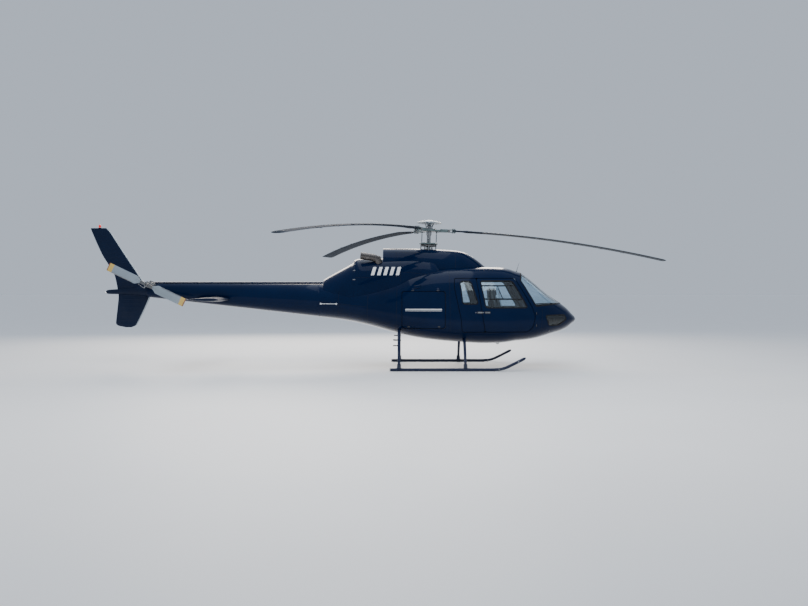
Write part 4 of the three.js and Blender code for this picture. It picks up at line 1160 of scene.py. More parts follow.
def bladeParts():
    loop, radius = aerofoilLoop(30), rotor["radius"]
    nose = np.concatenate([np.arange(len(loop) - 8, len(loop)), np.arange(0, 9)])
    strip = [bladeGrid(loop[nose], 220, 1.0, radius - 0.012, grow) for grow in (0.0009, -0.0006)]
    parts = [(gridShape(bladeGrid(loop, 300, rotor["root"], radius)), 0), (slabShape(*strip), 1)]
    for first, last in rotor["tabs"]:
        _, droop, chord, _, lead = bladeSections(2, first, last)
        y, z = float(lead[0, 0] + chord[0, 0]), rotor["bladeZ"] - float(droop.mean())
        parts.append((block((first, y - 0.012, z - 0.0012), (last, y + 0.022, z + 0.0012), 0.001), 0))
    for first, last, lift in ((0.55, 0.98, 0.003), (0.6, 1.2, 0.0015)):
        parts.append((gridShape(bladeGrid(loop, 40, first, last, lift)), 0))
    parts.append((block((radius - 0.03, -0.03, -0.07), (radius - 0.003, 0.03, -0.053), 0.004), 1))
    return parts


def sleeveParts():
    # a waisted plate above and below the blade's root, with its pins, bearing and damper
    r = np.linspace(0.24, 0.61, 40)
    half = 0.07 - 0.016 * np.sin(np.pi * np.clip((r - 0.3) / 0.24, 0, 1)) ** 2
    for past in (r - 0.56, 0.29 - r):
        half = half * np.sqrt(np.clip(1 - np.clip(past / 0.05, 0, 1) ** 2, 0.02, 1))
    edge = np.concatenate([np.stack([r, -half], axis=1), np.stack([r, half], axis=1)[::-1]])
    parts = [(plate(edge, 0.4433, 0.458, 0.004), 0), (plate(edge, 0.392, 0.4067, 0.004), 0)]
    parts.append((block((0.424, -0.066, 0.396), (0.472, 0.066, 0.456), 0.006), 1))
    stack = [(0.001, 0.0)]
    for k in range(7):
        stack += [(0.05, 0.0004 + 0.005 * k), (0.05, 0.0034 + 0.005 * k), (0.044, 0.0038 + 0.005 * k)]
    stack.append((0.001, 0.036))
    parts.append((lathe(stack, 40, (0.315, 0, 0.4075)), 2))
    for x in rotor["pins"]:
        for y in (-0.03, 0.03):
            pin = [(0.0005, 0.376), (0.011, 0.376), (0.011, 0.384), (0.015, 0.386), (0.015, 0.3925),
                   (0.009, 0.3925), (0.009, 0.458), (0.017, 0.458), (0.017, 0.468), (0.013, 0.472),
                   (0.013, 0.48), (0.0005, 0.481)]
            parts.append((lathe(pin, 24, (x - 0.012, y, 0)), 3))
    horn = roundedOutline([(0.16, 0.064), (0.3, 0.064), (0.3, 0.1), (0.2, 0.1), (0.16, 0.09)], 0.012)
    parts.append((plate(horn, 0.393, 0.4062, 0.003), 0))
    for x in (0.27, 0.345, 0.39, 0.505):
        parts.append((rivetShape([(x, y, 0.458) for y in (-0.042, 0.042)], (0, 0, 1), 0.007, 0.005), 3))
    return parts


def starOutline():
    # a soft maximum of a disc and three arms by angle, (a^10 + b^10)^0.1, cut square at the arms' ends
    angle = np.linspace(0, 2 * np.pi, 360, endpoint=False)
    off = (np.degrees(angle) + 60) % 120 - 60
    c, s = np.cos(np.radians(off)), np.abs(np.sin(np.radians(off)))
    arm = np.minimum(rotor["starArm"] / c, rotor["starHalf"] / np.maximum(s, 1e-6))
    reach = (arm ** 10 + rotor["starDisc"] ** 10) ** 0.1
    reach = np.minimum(reach, rotor["starArm"] / c)
    return reach[:, None] * np.stack([np.cos(angle), np.sin(angle)], axis=1)


def pitchRod(azimuth):
    # a turnbuckle with a round eye at each end
    x = 0.19
    body = [(0.006, 0.15), (0.006, 0.175), (0.0105, 0.18), (0.0105, 0.35), (0.006, 0.355), (0.006, 0.372)]
    pin = [(0.006, -0.014), (0.009, 0), (0.006, 0.014)]
    parts = [spindle(body, 20, (x, 0, 0))]
    for z in (0.138, 0.383):
        parts.append(sweep(circle(0.0055, 10), ringOf(0.013, 20, 0.0, "y") + [x, 0, z], (0, 1, 0),
                           closed=True))
        parts.append(spindle(pin, 16, (x, 0, z), "y"))
    return [(onRotor(part, azimuth), 1) for part in parts]


def rotorPiece(name, parts, materials, node, body="main_rotor"):
    piece(name, each(parts, onRotor), materials, body, [node])


def makeMainRotor():
    for k, azimuth in enumerate(rotor["azimuths"], 1):
        place = lambda shape: onRotor(shape, azimuth)
        piece(f"mainBlade_{k}", each(bladeParts(), place), "bladeGrey edgeGrey", "main_rotor",
              [f"main_blade_{k}"], smoothAngle=40)
        piece(f"bladeSleeve_{k}", each(sleeveParts(), place), "rotorGreen castGrey rubber steel",
              "main_rotor", [f"blade_sleeve_{k}"])
    hub = [(0.05, 0.39), (0.15, 0.39), (0.165, 0.396), (0.165, 0.402), (0.13, 0.408), (0.13, 0.442),
           (0.165, 0.447), (0.165, 0.452), (0.15, 0.458), (0.05, 0.458)]
    bolts = rivetShape(ringOf(0.142, 12, 0.458), (0, 0, 1), 0.01, 0.008)
    rotorPiece("rotorStar", [(plate(starOutline(), 0.407, 0.443, 0.006), 0), (lathe(hub, 64), 1), (bolts, 1)],
               "rotorGreen steel", "rotor_star")
    makeMast()
    makeSwashplates()


def makeMast():
    shaft = [(0.047, 0.0), (0.047, 0.1), (0.044, 0.106), (0.044, 0.3), (0.05, 0.312), (0.06, 0.33),
             (0.06, 0.392), (0.0475, 0.394), (0.0475, 0.5), (0.056, 0.505), (0.056, 0.53), (0.03, 0.552)]
    rotorPiece("rotorMast", [(spindle(shaft), 0)], "steel", "rotor_mast")
    low = [(0.06, 0.5525), (0.06, 0.574), (0.2, 0.574), (0.262, 0.58), (0.281, 0.586)]
    rise = smoothCurve([(0.282, 0.5915), (0.27, 0.6), (0.23, 0.6165), (0.17, 0.632), (0.1, 0.6435),
                        (0.085, 0.6455)], 30)
    parts = [(spindle([*low, *rise, (0.08, 0.646)], 96), 0)]
    strut = tube([(0.085, 0, 0.456), (0.1, 0, 0.52), (0.135, 0, 0.578)], 0.008, 12)
    foot = lathe([(0.0005, 0.455), (0.018, 0.455), (0.018, 0.463), (0.0005, 0.464)], 16, (0.085, 0, 0))
    parts += [(turned(shape, "z", azimuth), 1) for azimuth in (40, 130, 220, 310) for shape in (strut, foot)]
    parts.append((rivetShape(ringOf(0.072, 8, 0.646), (0, 0, 1), 0.006, 0.0004), 1))
    rotorPiece("rotorDome", parts, "domeGrey steel", "rotor_dome")


def makeSwashplates():
    ring = [(0.062, 0.062), (0.15, 0.06), (0.178, 0.064), (0.185, 0.072), (0.185, 0.09), (0.176, 0.098),
            (0.1, 0.098), (0.062, 0.092)]
    jack = [(0.011, 0.0), (0.011, 0.012), (0.018, 0.014), (0.018, 0.045), (0.009, 0.047), (0.009, 0.066)]
    arm = tube([(0.195, 0, 0.078), (0.197, 0, 0.02), (0.19, 0, -0.12)], 0.012, 14)
    joint = [(spindle(jack, 20, (0.092, 0, 0)), 1),
             (block((0.15, -0.02, 0.064), (0.2, 0.02, 0.094), 0.008), 0), (arm, 1)]
    fixed = [(lathe(ring, 72), 0)]
    for azimuth in (30, 150, 270):
        fixed += each(joint, lambda shape: turned(shape, "z", azimuth))
    rotorPiece("swashplateFixed", fixed, "castGrey steel", "swashplate_fixed", "airframe")
    ring = [(0.049, 0.108), (0.19, 0.106), (0.205, 0.111), (0.205, 0.134), (0.196, 0.14), (0.12, 0.143),
            (0.09, 0.152), (0.049, 0.152)]
    elbow = (0.235, 0, 0.22)
    scissor = [tube([(0.17, 0.012, 0.15), elbow], 0.008, 12), tube([elbow, (0.06, 0, 0.315)], 0.008, 12),
               spindle([(0.014, -0.022), (0.014, 0.022)], 20, elbow, "y")]
    lug = block((0.165, -0.024, 0.112), (0.205, 0.024, 0.138), 0.006)
    turning = [(lathe(ring, 72), 0)] + [(turned(lug, "z", azimuth + 24), 0) for azimuth in rotor["azimuths"]]
    turning += [(turned(shape, "z", azimuth), 1) for azimuth in (84, 264) for shape in scissor]
    parts = each(turning, onRotor)
    for azimuth in rotor["azimuths"]:
        parts += pitchRod(azimuth + 24)
    piece("swashplateTurning", parts, "rotorGreen steel", "main_rotor", ["swashplate_turning"])


makeMainRotor()
print("main rotor ready")


# Tail rotor, made about its hub and turned to its parked angle

tailRotor = {"hub": (-6.2, -0.47, 1.84), "radius": 0.924, "root": 0.15, "chord": 0.185, "angle": 25.6,
             "tip": 0.115, "band": 0.02, "edgeShare": 0.1}


def onTailRotor(shape):
    x, y, z = tailRotor["hub"]
    return turned(shape, "y", tailRotor["angle"], (x + mastX, y, z))


def tailBladeGrid(loop, first, last, count, sign, grow=0.0):
    # the chord flares from 0.4 to 1 between 0.15 and 0.27, while thickness falls from 0.3 to 0.11 of it
    r = np.linspace(first, last, count)[:, None]
    flare = np.clip((r - 0.15) / 0.12, 0, 1)
    flare = flare ** 2 * (3 - 2 * flare)
    tip = np.clip((r - (tailRotor["radius"] - 0.02)) / 0.02, 0, 1) ** 2
    chord = tailRotor["chord"] * (0.4 + 0.6 * flare) * (1 - 0.1 * tip)
    thick = chord * (0.3 - 0.19 * flare) * (1 - 0.55 * tip)
    y = loop[None, :, 1] * thick + np.sign(loop[None, :, 1]) * grow
    z = sign * (chord / 2 - loop[None, :, 0] * chord + grow * (loop[None, :, 0] < 0.001))
    return np.stack([sign * r + 0 * y, y, z], axis=-1)


def makeTailRotor():
    loop, radius = aerofoilLoop(26), tailRotor["radius"]
    tipStart, bandStart = radius - tailRotor["tip"], radius - tailRotor["band"]
    nose = loop[noseOf(loop, loop[:, 0] < tailRotor["edgeShare"])]
    spans = ((tailRotor["root"], tipStart, 70, 0.0, 0), (tipStart, bandStart, 24, 0.0, 1),
             (bandStart, radius, 14, 0.0, 2),
             (0.152, 0.3, 20, 0.0025, 0))  # from, to, sections, lift, material
    for number, sign in ((1, 1), (2, -1)):
        parts = [(gridShape(tailBladeGrid(loop, first, last, count, sign, lift)), material)
                 for first, last, count, lift, material in spans]
        edge = [tailBladeGrid(nose, 0.33, tipStart, 60, sign, grow) for grow in (0.0007, -0.0006)]
        bolts = [(sign * r, side * 0.0135, z) for r in (0.175, 0.205, 0.235)
                 for side in words for z in (-0.016, 0.016)]
        heads = rivetShape(bolts, [(0, np.sign(bolt[1]), 0) for bolt in bolts], 0.0065, 0.005)
        piece(f"tailBlade_{number}", each([*parts, (slabShape(*edge), 3), (heads, 3)], onTailRotor),
              "tailBlade yellow oxide steel", "tail_rotor", [f"tail_blade_{number}"],
              smoothAngle=40)
    shaft = [(0.022, -0.03), (0.022, 0.06), (0.03, 0.064), (0.03, 0.0985)]
    boss = [(0.03, -0.046), (0.038, -0.043), (0.041, -0.03), (0.046, -0.024), (0.046, 0.022), (0.052, 0.026),
            (0.052, 0.03)]
    pin = [(0.014, -0.026), (0.017, -0.022), (0.017, 0.022), (0.014, 0.026)]
    yoke = roundedOutline([(-0.15, -0.034), (0.15, -0.034), (0.15, 0.034), (-0.15, 0.034)], 0.015)
    cast = [spindle(boss, 56, axis="y"), plate(yoke, 0.006, 0.021, 0.004, "y"),
            plate(yoke, -0.021, -0.006, 0.004, "y"),
            block((-0.1, -0.0065, -0.028), (0.1, 0.0065, 0.028), 0.004)]
    bright = [spindle(shaft, 40, axis="y"), block((-0.012, -0.046, -0.085), (0.012, -0.034, 0.085), 0.004)]
    for sign in (-1, 1):
        link = [(0, -0.04, sign * 0.08), (sign * 0.05, -0.036, sign * 0.078),
                (sign * 0.16, -0.012, sign * 0.06)]
        bright.append(tube(link, 0.006, 12, up=(0, 0, 1)))
        cast.append(spindle(pin, 28, (sign * 0.118, 0, 0), "y"))
    bright.append(rivetShape(ringOf(0.033, 6, -0.0435, "y"), (0, -1, 0), 0.005, 0.003))
    parts = [(shape, 0) for shape in cast] + [(shape, 1) for shape in bright]
    piece("tailRotorHub", each(parts, onTailRotor), "castGrey steel", "tail_rotor", ["tail_rotor_hub"])
    makeTailGearbox()


def makeTailGearbox():
    # a finned casting on the boom's end, its flange and filler, and the beacon on the fin
    x, _, z = tailRotor["hub"]
    profile = [(0.03, -0.3695), (0.036, -0.362), (0.062, -0.355), (0.062, -0.34), (0.058, -0.335)]
    for y in np.arange(-0.32, -0.16, 0.022):
        profile += [(0.06, y), (0.07, y + 0.003), (0.07, y + 0.008), (0.06, y + 0.011)]
    profile += [(0.076, -0.14), (0.084, -0.128), (0.084, -0.118), (0.078, -0.11)]
    filler = [(0.0005, 0), (0.014, 0), (0.014, 0.02), (0.018, 0.022), (0.018, 0.03), (0.0005, 0.032)]
    nuts = rivetShape(ringOf(0.054, 8, -0.355, "y") + [x + mastX, 0, z], (0, -1, 0), 0.006, 0.006)
    piece("tailGearbox", [(spindle(profile, 48, (x + mastX, 0, z), "y"), 0),
                          (lathe(filler, 24, (x + mastX, -0.2, z + 0.062)), 1), (nuts, 1)], "castGrey steel",
          replaced=["tail_gearbox"])
    centre = (mastX - 7.4, 0, 0)
    foot = spindle([(0.034, 3.1103), (0.034, 3.12), (0.029, 3.124)], 32, centre)
    dome = [(0.0005, 3.1245)] + [(0.028 if k % 2 else 0.0265, 3.1245 + 0.012 * k) for k in range(1, 4)]
    dome += [(0.027 * math.cos(a), 3.1675 + 0.026 * math.sin(a)) for a in np.linspace(0, np.pi / 2, 9)[:-1]]
    piece("beaconLamp", [(foot, 0), (lathe([*dome, (0.0005, 3.1945)], 40, centre), 1)], "rubber redLens",
          replaced=["beacon"])


makeTailRotor()
print("tail rotor ready")


# Landing gear

gear = {
    "tube": 0.034, "skidY": 1.085, "skidZ": 0.035, "skid": 0.032,
    "front": (0.754, [(0, 0.65), (0.64, 0.65), (0.74, 0.625), (0.815, 0.56), (1.0, 0.25), (1.05, 0.13)]),
    "rear": (-0.657, [(0, 0.88), (0.56, 0.88), (0.66, 0.85), (0.74, 0.775), (0.99, 0.27), (1.05, 0.13)]),
    "path": [(-0.85, 0), (0.4, 0), (1.36, 0), (1.53, 0.012), (1.64, 0.055), (1.82, 0.145), (2.025, 0.25)],
    "pegs": (0.65, 0.53),
}


def smoothBend(points, spacing=0.012, blur=7):
    # corners of a polyline eased by a running mean over its evenly spaced points
    even = resampled(points, spacing)
    pad = np.concatenate([[even[0]] * blur, even, [even[-1]] * blur])
    window = np.ones(2 * blur + 1) / (2 * blur + 1)
    soft = np.stack([np.convolve(pad[:, k], window, "valid") for k in range(even.shape[1])], axis=1)
    soft[0], soft[-1] = even[0], even[-1]
    return soft


def skidAt(x, side, z=0.0):
    return np.array([x + mastX, side * gear["skidY"], z])


def makeSkid(side, word):
    radius, level = gear["skid"], gear["skidZ"]
    path = smoothBend([skidAt(x, side, level + rise) for x, rise in gear["path"]])
    size = np.ones(len(path))
    size[-4:] = [0.985, 0.93, 0.8, 0.5]
    size[:3] = [0.86, 0.96, 0.995]
    parts = [(sweep(circle(radius, 36), path, (0, 1, 0), scale=size), 0)]
    for first, last in ((-0.8, -0.25), (-0.2, 0.5), (0.55, 1.38)):
        shoe = roundedOutline([(first, -0.016), (last, -0.016), (last, 0.016), (first, 0.016)], 0.008)
        parts.append((plate(shoe + skidAt(0, side)[:2], 0.0001, 0.0075, 0.0015), 1))
        studs = [skidAt(x, side, 0.0074) for x in np.arange(first + 0.05, last, 0.11)]
        parts.append((rivetShape(studs, (0, 0, 1), 0.006, 0.003), 1))
    collar, band = (0.0005, 0.075, 0.0028, 0.071), (0.0003, 0.009, 0.003, 0.007)  # lift and half width, twice
    for (low, wide, high, narrow), x, lift, material in (
            (collar, gear["front"][0], 0, 0), (collar, gear["rear"][0], 0, 0),
            (band, -0.843, 0, 2), (band, 1.46, 0.003, 2)):
        profile = [(radius + low, -wide), (radius + high, -narrow), (radius + high, narrow),
                   (radius + low, wide)]
        parts.append((lathe(profile, 36, skidAt(x, side, level + lift), "x"), material))
    dot = skidAt(1.87, side, level + 0.17) + [0, side * (radius - 0.0015), 0]
    parts.append((rivetShape([dot], (0, side, 0), 0.011, 0.004), 3))
    piece(f"skidTube_{word}", parts, "gear wornShoe steel pale", replaced=[f"skid_{word}"])


def makeLeg(name):
    x, steps = gear[name]
    half = [(x + mastX, y, z) for y, z in steps]
    path = smoothBend([(p[0], -p[1], p[2]) for p in reversed(half)] + half[1:], 0.02, 3)
    size = 1 - 0.14 * np.clip((np.abs(path[:, 1]) - 0.75) / 0.3, 0, 1)
    parts = [(sweep(circle(gear["tube"], 36), path, (1, 0, 0), scale=size), 0)]
    share, radii = np.array([0, 0.06, 0.1, 0.55, 0.8, 1.0]), [0.033, 0.0395, 0.041, 0.0425, 0.047, 0.05]
    for side in words:
        top, foot = np.array([x + mastX, side * 1.046, 0.152]), np.array([x + mastX, side * 1.0795, 0.045])
        line = top + (foot - top) * share[:, None]
        parts.append((sweep(circle(1.0, 40), line, (1, 0, 0), scale=radii), 0))
        across = [(x + mastX + dx, side * 1.1065, 0.098 + dz) for dx in (-0.018, 0.018)
                  for dz in (-0.012, 0.018)]
        parts.append((rivetShape(across, (0, side, 0.28), 0.008, 0.007), 1))
        base = [skidAt(x + dx, side, 0.062) + [0, side * dy, 0] for dx in (-0.062, 0.062)
                for dy in (-0.012, 0.012)]
        parts.append((rivetShape(base, (0, 0, 1), 0.0075, 0.008), 1))
        if name == "rear":
            parts += stepPegs(x, side)
    piece(f"{name}CrossTube", parts, "gear steel rubber", replaced=[f"{name}_cross_tube"])


def stepPegs(x, side):
    # short pegs behind the leg, each in a clamp band, with a ribbed sleeve
    parts = []
    rod = [(0.009, -0.13), (0.013, -0.127)]
    for k in range(8):
        rod += [(0.013, -0.12 + 0.009 * k), (0.0115, -0.1165 + 0.009 * k)]
    rod += [(0.0085, -0.045), (0.0085, 0.0)]
    collar = lathe([(0.0345, -0.016), (0.0375, -0.014), (0.0375, 0.014), (0.0345, 0.016)], 32)
    lean = side * math.degrees(math.atan2(0.25, 0.505))
    across, up = np.array(gear["rear"][1]).T
    for z in gear["pegs"]:
        centre = (x + mastX, side * float(np.interp(-z, -up, across)), z)
        parts += [(spindle(rod, 20, centre, "x"), 2), (turned(collar, "x", lean, centre), 0)]
    return parts


for side, word in words.items():
    makeSkid(side, word)
for name in ("front", "rear"):
    makeLeg(name)
print("landing gear ready")


# Exhausts, engines and gearbox

machine = {
    "pipe": [(-1.09, 0.4, 2.3), (-1.13, 0.404, 2.38), (-1.22, 0.418, 2.435), (-1.36, 0.44, 2.455),
             (-1.5, 0.462, 2.475)],
    "pipeRadius": 0.08, "bore": 0.0715, "boreDepth": 0.3,
}


def makeExhaust(side, word):
    # rings out along the path, beads of exp(-(distance / width)^2) on it, over a lip and back down inside
    path = smoothCurve([(x + mastX, side * y, z) for x, y, z in machine["pipe"]], 64)
    radius, bore, clampAt = machine["pipeRadius"], machine["bore"], 0.2
    length = np.concatenate([[0], np.cumsum(np.linalg.norm(np.diff(path, axis=0), axis=1))])
    left = length[-1] - length
    beads = [0.0022 * np.exp(-((left - at) / 0.004) ** 2) for at in (0.085, clampAt, 0.31)]
    size = np.full(len(path), radius - 0.0025) + sum(beads)
    size[-3:] += [0.0008, 0.0018, 0.0022]
    back = [k for k in range(len(path))[::-1] if left[k] < machine["boreDepth"]]
    line = np.concatenate([path, path[back]])
    sizes = np.concatenate([size, np.where(left[back] < 0.004, bore + 0.004, bore)])
    along = np.gradient(path, axis=0)
    along = unit(np.concatenate([along, along[back]]))
    across = unit(np.cross([0, 1.0, 0], along))
    disc = carried(0 * line, circle(1.0, 48), across, np.cross(along, across))
    k = int(np.argmin(np.abs(left - clampAt)))
    heads = rivetShape(path[k] + disc[k][::8] * (radius + 0.001), disc[k][::8], 0.005, 0.004)
    piece(f"exhaustPipe_{word}", [(gridShape(line[:, None] + disc * sizes[:, None, None]), 0), (heads, 1)],
          "exhaustSteel steel", replaced=[f"exhaust_{word}"])
    seat = skinNormal(engineTable, np.array([mastX - 1.16, side * 0.41, 2.43]))
    centre = np.array([mastX - 1.165, side * 0.409, 2.424])
    u = unit(np.cross(seat, [0, 1.0, 0]))
    oval = circle(1.0, 56)
    line = centre + 0.108 * oval[:, :1] * u + 0.09 * oval[:, 1:] * np.cross(seat, u)
    rim = sweep(roundRectangle(0.022, 0.02, 0.006), line, seat, closed=True)
    piece(f"exhaustCollar_{word}", [(rim, 0)], "exhaustSteel")


def makeEngine(side, word):
    # a turned casing with flanges, an accessory case under it and two feed pipes
    y, z = side * 0.215, 1.945
    profile = [(0.07, -1.758), (0.075, -1.74), (0.075, -1.7), (0.105, -1.66), (0.105, -1.655),
               (0.118, -1.653), (0.118, -1.643), (0.105, -1.641), (0.11, -1.5), (0.128, -1.47),
               (0.138, -1.468), (0.138, -1.455), (0.128, -1.453), (0.128, -1.36), (0.138, -1.358),
               (0.138, -1.345), (0.126, -1.343), (0.1, -1.27), (0.09, -1.2), (0.1, -1.18), (0.1, -1.165),
               (0.085, -1.16), (0.062, -1.065)]
    bolts = np.concatenate([ringOf(0.132, 20, mastX + x, "x") + [0, y, z] for x in (-1.455, -1.345)])
    parts = [(spindle(profile, 48, (mastX, y, z), "x"), 0), (rivetShape(bolts, (1, 0, 0), 0.005, 0.005), 1),
             (block((mastX - 1.45, y - 0.08, 1.7912), (mastX - 1.12, y + 0.08, 1.86), 0.015), 0)]
    for dy in (-0.05, 0.05):
        line = [(mastX - back, y + dy * out, z) for back, out, z in (
            (1.2, 1.0, 1.85), (1.3, 2.2, 1.9), (1.42, 2.0, 2.0), (1.52, 1.0, 2.05))]
        parts.append((tube(line, 0.008, 14), 1))
    piece(f"engineCasing_{word}", parts, "castGrey steel", replaced=[f"engine_{word}"])


def makeGearbox():
    # a cast cone with webs on a square foot; the collar above it leans with the mast
    cone = [(0.0005, 1.9), (0.26, 1.9), (0.27, 1.92), (0.262, 2.05), (0.235, 2.25), (0.205, 2.4), (0.2, 2.48),
            (0.21, 2.5), (0.21, 2.515), (0.185, 2.52), (0.15, 2.59), (0.0005, 2.595)]
    web = plate([(0.2, 1.9), (0.285, 1.9), (0.28, 1.98), (0.245, 2.25), (0.214, 2.46), (0.2, 2.46)],
                -0.005, 0.005, 0.002, "y")
    collar = [(0.14, -0.08), (0.142, -0.07), (0.12, -0.02), (0.11, -0.0005)]
    bolts = ringOf(0.197, 16, 2.515) + [mastX, 0, 0]
    parts = [(lathe(cone, 72, (mastX, 0, 0)), 0),
             (block((mastX - 0.298, -0.278, 1.7505), (mastX + 0.298, 0.278, 1.91), 0.03), 0)]
    parts += [(turned(web, "z", 15 + 30 * k, (mastX, 0, 0)), 0) for k in range(12)]
    parts += [(rivetShape(bolts, (0, 0, 1), 0.008, 0.008), 1), (onRotor(spindle(collar, 56)), 0)]
    piece("gearboxCasting", parts, "castGrey steel", replaced=["main_gearbox"])


for side, word in words.items():
    makeExhaust(side, word)
    makeEngine(side, word)
makeGearbox()
print("exhausts and machinery ready")


# Cabin: crowned cushions, belts, controls and the panel

cabin = {
    "seats": [(1.54, -0.66, -0.18, "frontSeat_right", "front_seat_right", 1),
              (1.54, 0.18, 0.66, "frontSeat_left", "front_seat_left", 1),
              (0.665, -0.68, 0.68, "rearBench", "rear_bench", 4)],
    "floor": 0.8003, "cushion": 0.115, "back": 0.09,
    "stops": ((0.72, 0.79, 0.8), (2.01, 2.08, 0.8), (-0.09, -0.01, 0.893)),  # from, to, height of the sill
}


cushions = {
    "squareness": 7.0, "waist": 0.026, "slack": 0.004, "voxel": 0.008, "pressure": 4.0, "frames": 20,
    "cap": (0.009, 0.009, 0.024), "seamDepth": 0.011, "seamWidth": 0.0075,
}


def padOutline(u, v, length, width):
    # a squircle of power 7 whose sides pull in between its corners
    x = length / 2 * u * (1 - cushions["waist"] * (1 - v ** 2) * np.abs(u) ** 3)
    y = width / 2 * v * (1 - cushions["waist"] * (1 - u ** 2) * np.abs(v) ** 3)
    return x, y


def padShape(length, width, thick, count=60):
    # an upper sheet crowned by (1 - m^3.2)^0.5 over a flatter lower one, m running from 0 to 1 at the edge
    line = np.linspace(-1, 1, count)
    line = np.sign(line) * (1 - (1 - np.abs(line)) ** 1.5)
    a, b = np.meshgrid(line, line, indexing="ij")
    power = cushions["squareness"]
    radius = (np.abs(a) ** power + np.abs(b) ** power) ** (1 / power)
    fit = np.maximum(np.abs(a), np.abs(b)) / np.maximum(radius, 1e-9)
    u, v = a * fit, b * fit
    m = np.clip((np.abs(u) ** power + np.abs(v) ** power) ** (1 / power), 0, 1)
    x, y = padOutline(u, v, length, width)
    crown = thick * (0.42 + 0.58 * np.sqrt(1 - m ** 3.2))
    low = thick * (0.38 - 0.34 * np.sqrt(1 - m ** 6))
    return slabShape(np.stack([x, y, crown], axis=-1), np.stack([x, y, low], axis=-1))


def swollen(shape):
    # fabric over foam: remeshed, blown up as cloth for twenty frames, its moves capped, then subdivided once
    scene = bpy.context.scene
    thing = toolObject(shape, "fabric")
    even = thing.modifiers.new("even", "REMESH")
    even.mode, even.voxel_size = "VOXEL", cushions["voxel"]
    mesh = evaluated(thing)
    thing.modifiers.clear()
    thing.data = mesh
    start = shapeOf(mesh, True)
    cloth = thing.modifiers.new("cloth", "CLOTH")
    cloth.settings.quality, cloth.settings.mass = 5, 0.3
    cloth.settings.use_pressure, cloth.settings.uniform_pressure_force = True, cushions["pressure"]
    cloth.settings.effector_weights.gravity = 0
    cloth.point_cache.frame_start, cloth.point_cache.frame_end = 1, cushions["frames"]
    for frame in range(1, cushions["frames"] + 1):
        scene.frame_set(frame)
    move = shapeOf(evaluated(thing), True)["points"] - start["points"]
    limit = np.array(cushions["cap"])
    start["points"] = start["points"] + limit * np.tanh(move / limit)
    thing.modifiers.clear()
    thing.data = meshFrom("fabricSwollen", [(start, 0)])
    finer = thing.modifiers.new("finer", "SUBSURF")
    finer.levels = finer.render_levels = 1
    result = shapeOf(evaluated(thing), True)
    bpy.data.objects.remove(thing)
    scene.frame_set(1)
    return result


def sewn(shape, thick, seams, sides):
    # channels pressed into the upper face: depth times exp(-(distance / width)^2) from each seam
    x, y, z = shape["points"].T
    upper = np.clip((z / thick - 0.45) / 0.3, 0, 1)
    away = [np.abs(x - at) for at in seams] + [np.abs(np.abs(y) - at) for at in sides]
    press = sum(np.exp(-(gap / cushions["seamWidth"]) ** 2) for gap in away) if away else 0 * x
    # shallow hollows where the foam has settled: a product of two sines
    dip = cushions["seamDepth"] * np.minimum(press, 1.2) - 0.002 * np.sin(x * 23) * np.sin(y * 17 + 1)
    return {**shape, "points": np.column_stack([x, y, z - upper * dip])}


madePads = {}


def fullPad(length, width, thick, seams, sides):
    # pads of one size share one simulation
    key = (round(length, 4), round(width, 4), thick, seams)
    if key not in madePads:
        slack = 2 * cushions["slack"]
        pad = padShape(length - slack, width - slack, thick - slack)
        pad = swollen(moved(pad, lambda p: p + [0, 0, cushions["slack"] * 0.5]))
        madePads[key] = sewn(pad, thick, seams, sides)
    return madePads[key]


def pipingShape(pad, level, radius=0.0045, count=120):
    # a cord round the pad: its farthest point in each direction near one level, softened with its neighbours
    x, y, _ = pad["points"][np.abs(pad["points"][:, 2] - level) < 0.014].T
    reach = np.zeros(count)
    np.maximum.at(reach, ((np.arctan2(y, x) / (2 * np.pi) + 0.5) * count).astype(int) % count, np.hypot(x, y))
    reach = (np.roll(reach, 1) + 2 * reach + np.roll(reach, -1)) / 4 - 0.001
    angle = (np.arange(count) + 0.5) / count * 2 * np.pi - np.pi
    ring = np.column_stack([reach * np.cos(angle), reach * np.sin(angle), np.full(count, level)])
    return sweep(circle(radius, 8), resampled(ring, 0.012, True), (0, 0, 1), closed=True)


def placed(shape, degrees, x, y, z):
    return turned(shape, "y", degrees, (x + mastX, y, z))


def makePad(name, length, width, thick, seams, sides, degrees, x, y, z, node=None):
    shape = fullPad(length, width, thick, seams, sides)
    parts = each([(shape, 0), (pipingShape(shape, thick * 0.4), 1)],
                 lambda part: placed(part, degrees, x, y, z))
    thing = piece(name, parts, "leather rubber", replaced=[node] if node else (),
                  smoothAngle=50)


def strap(points, width=0.045, thick=0.0028, up=(1, 0, 0)):
    path = smoothCurve(points, 14 * len(points))
    return sweep(roundRectangle(width, thick, thick * 0.4, 3), path, up)


def makeBelt(name, x, y, half):
    # two shoulder straps down the back and a lap strap with its buckle
    over = [(-0.125, 1.752), (-0.07, 1.76), (-0.022, 1.7), (0.024, 1.5), (0.054, 1.35), (0.084, 1.215),
            (0.125, 1.176), (0.2, 1.172)]
    inward = np.interp(np.arange(len(over)), [0, 3, len(over) - 1], [0.085, 0.085, 0.02])
    lap = [(0.03, half + 0.004, 1.06), (0.07, half * 0.93, 1.13), (0.14, half * 0.6, 1.158),
           (0.2, 0.03, 1.16)]
    parts = []
    for side in words:
        line = [(x + mastX + dx, y + side * dy, z) for (dx, z), dy in zip(over, inward)]
        parts.append((strap(line, up=(1, 0, 0.3)), 0))
        parts.append((strap([(x + mastX + dx, y + side * dy, z) for dx, dy, z in lap],
                            up=(0, side * 0.35, 1)), 0))
    buckle = block((-0.03, -0.028, -0.008), (0.03, 0.028, 0.01), 0.006)
    piece(name, [*parts, (placed(buckle, -4, x + 0.2, y, 1.163), 1)], "webbing steel")


def sidePlate(points, cornerRadius, low, high, radius, x=0.0):
    # a plate across the cabin from an outline of x and z
    return plate(roundedOutline(points, cornerRadius) + [x + mastX, 0], low, high, radius, "y")


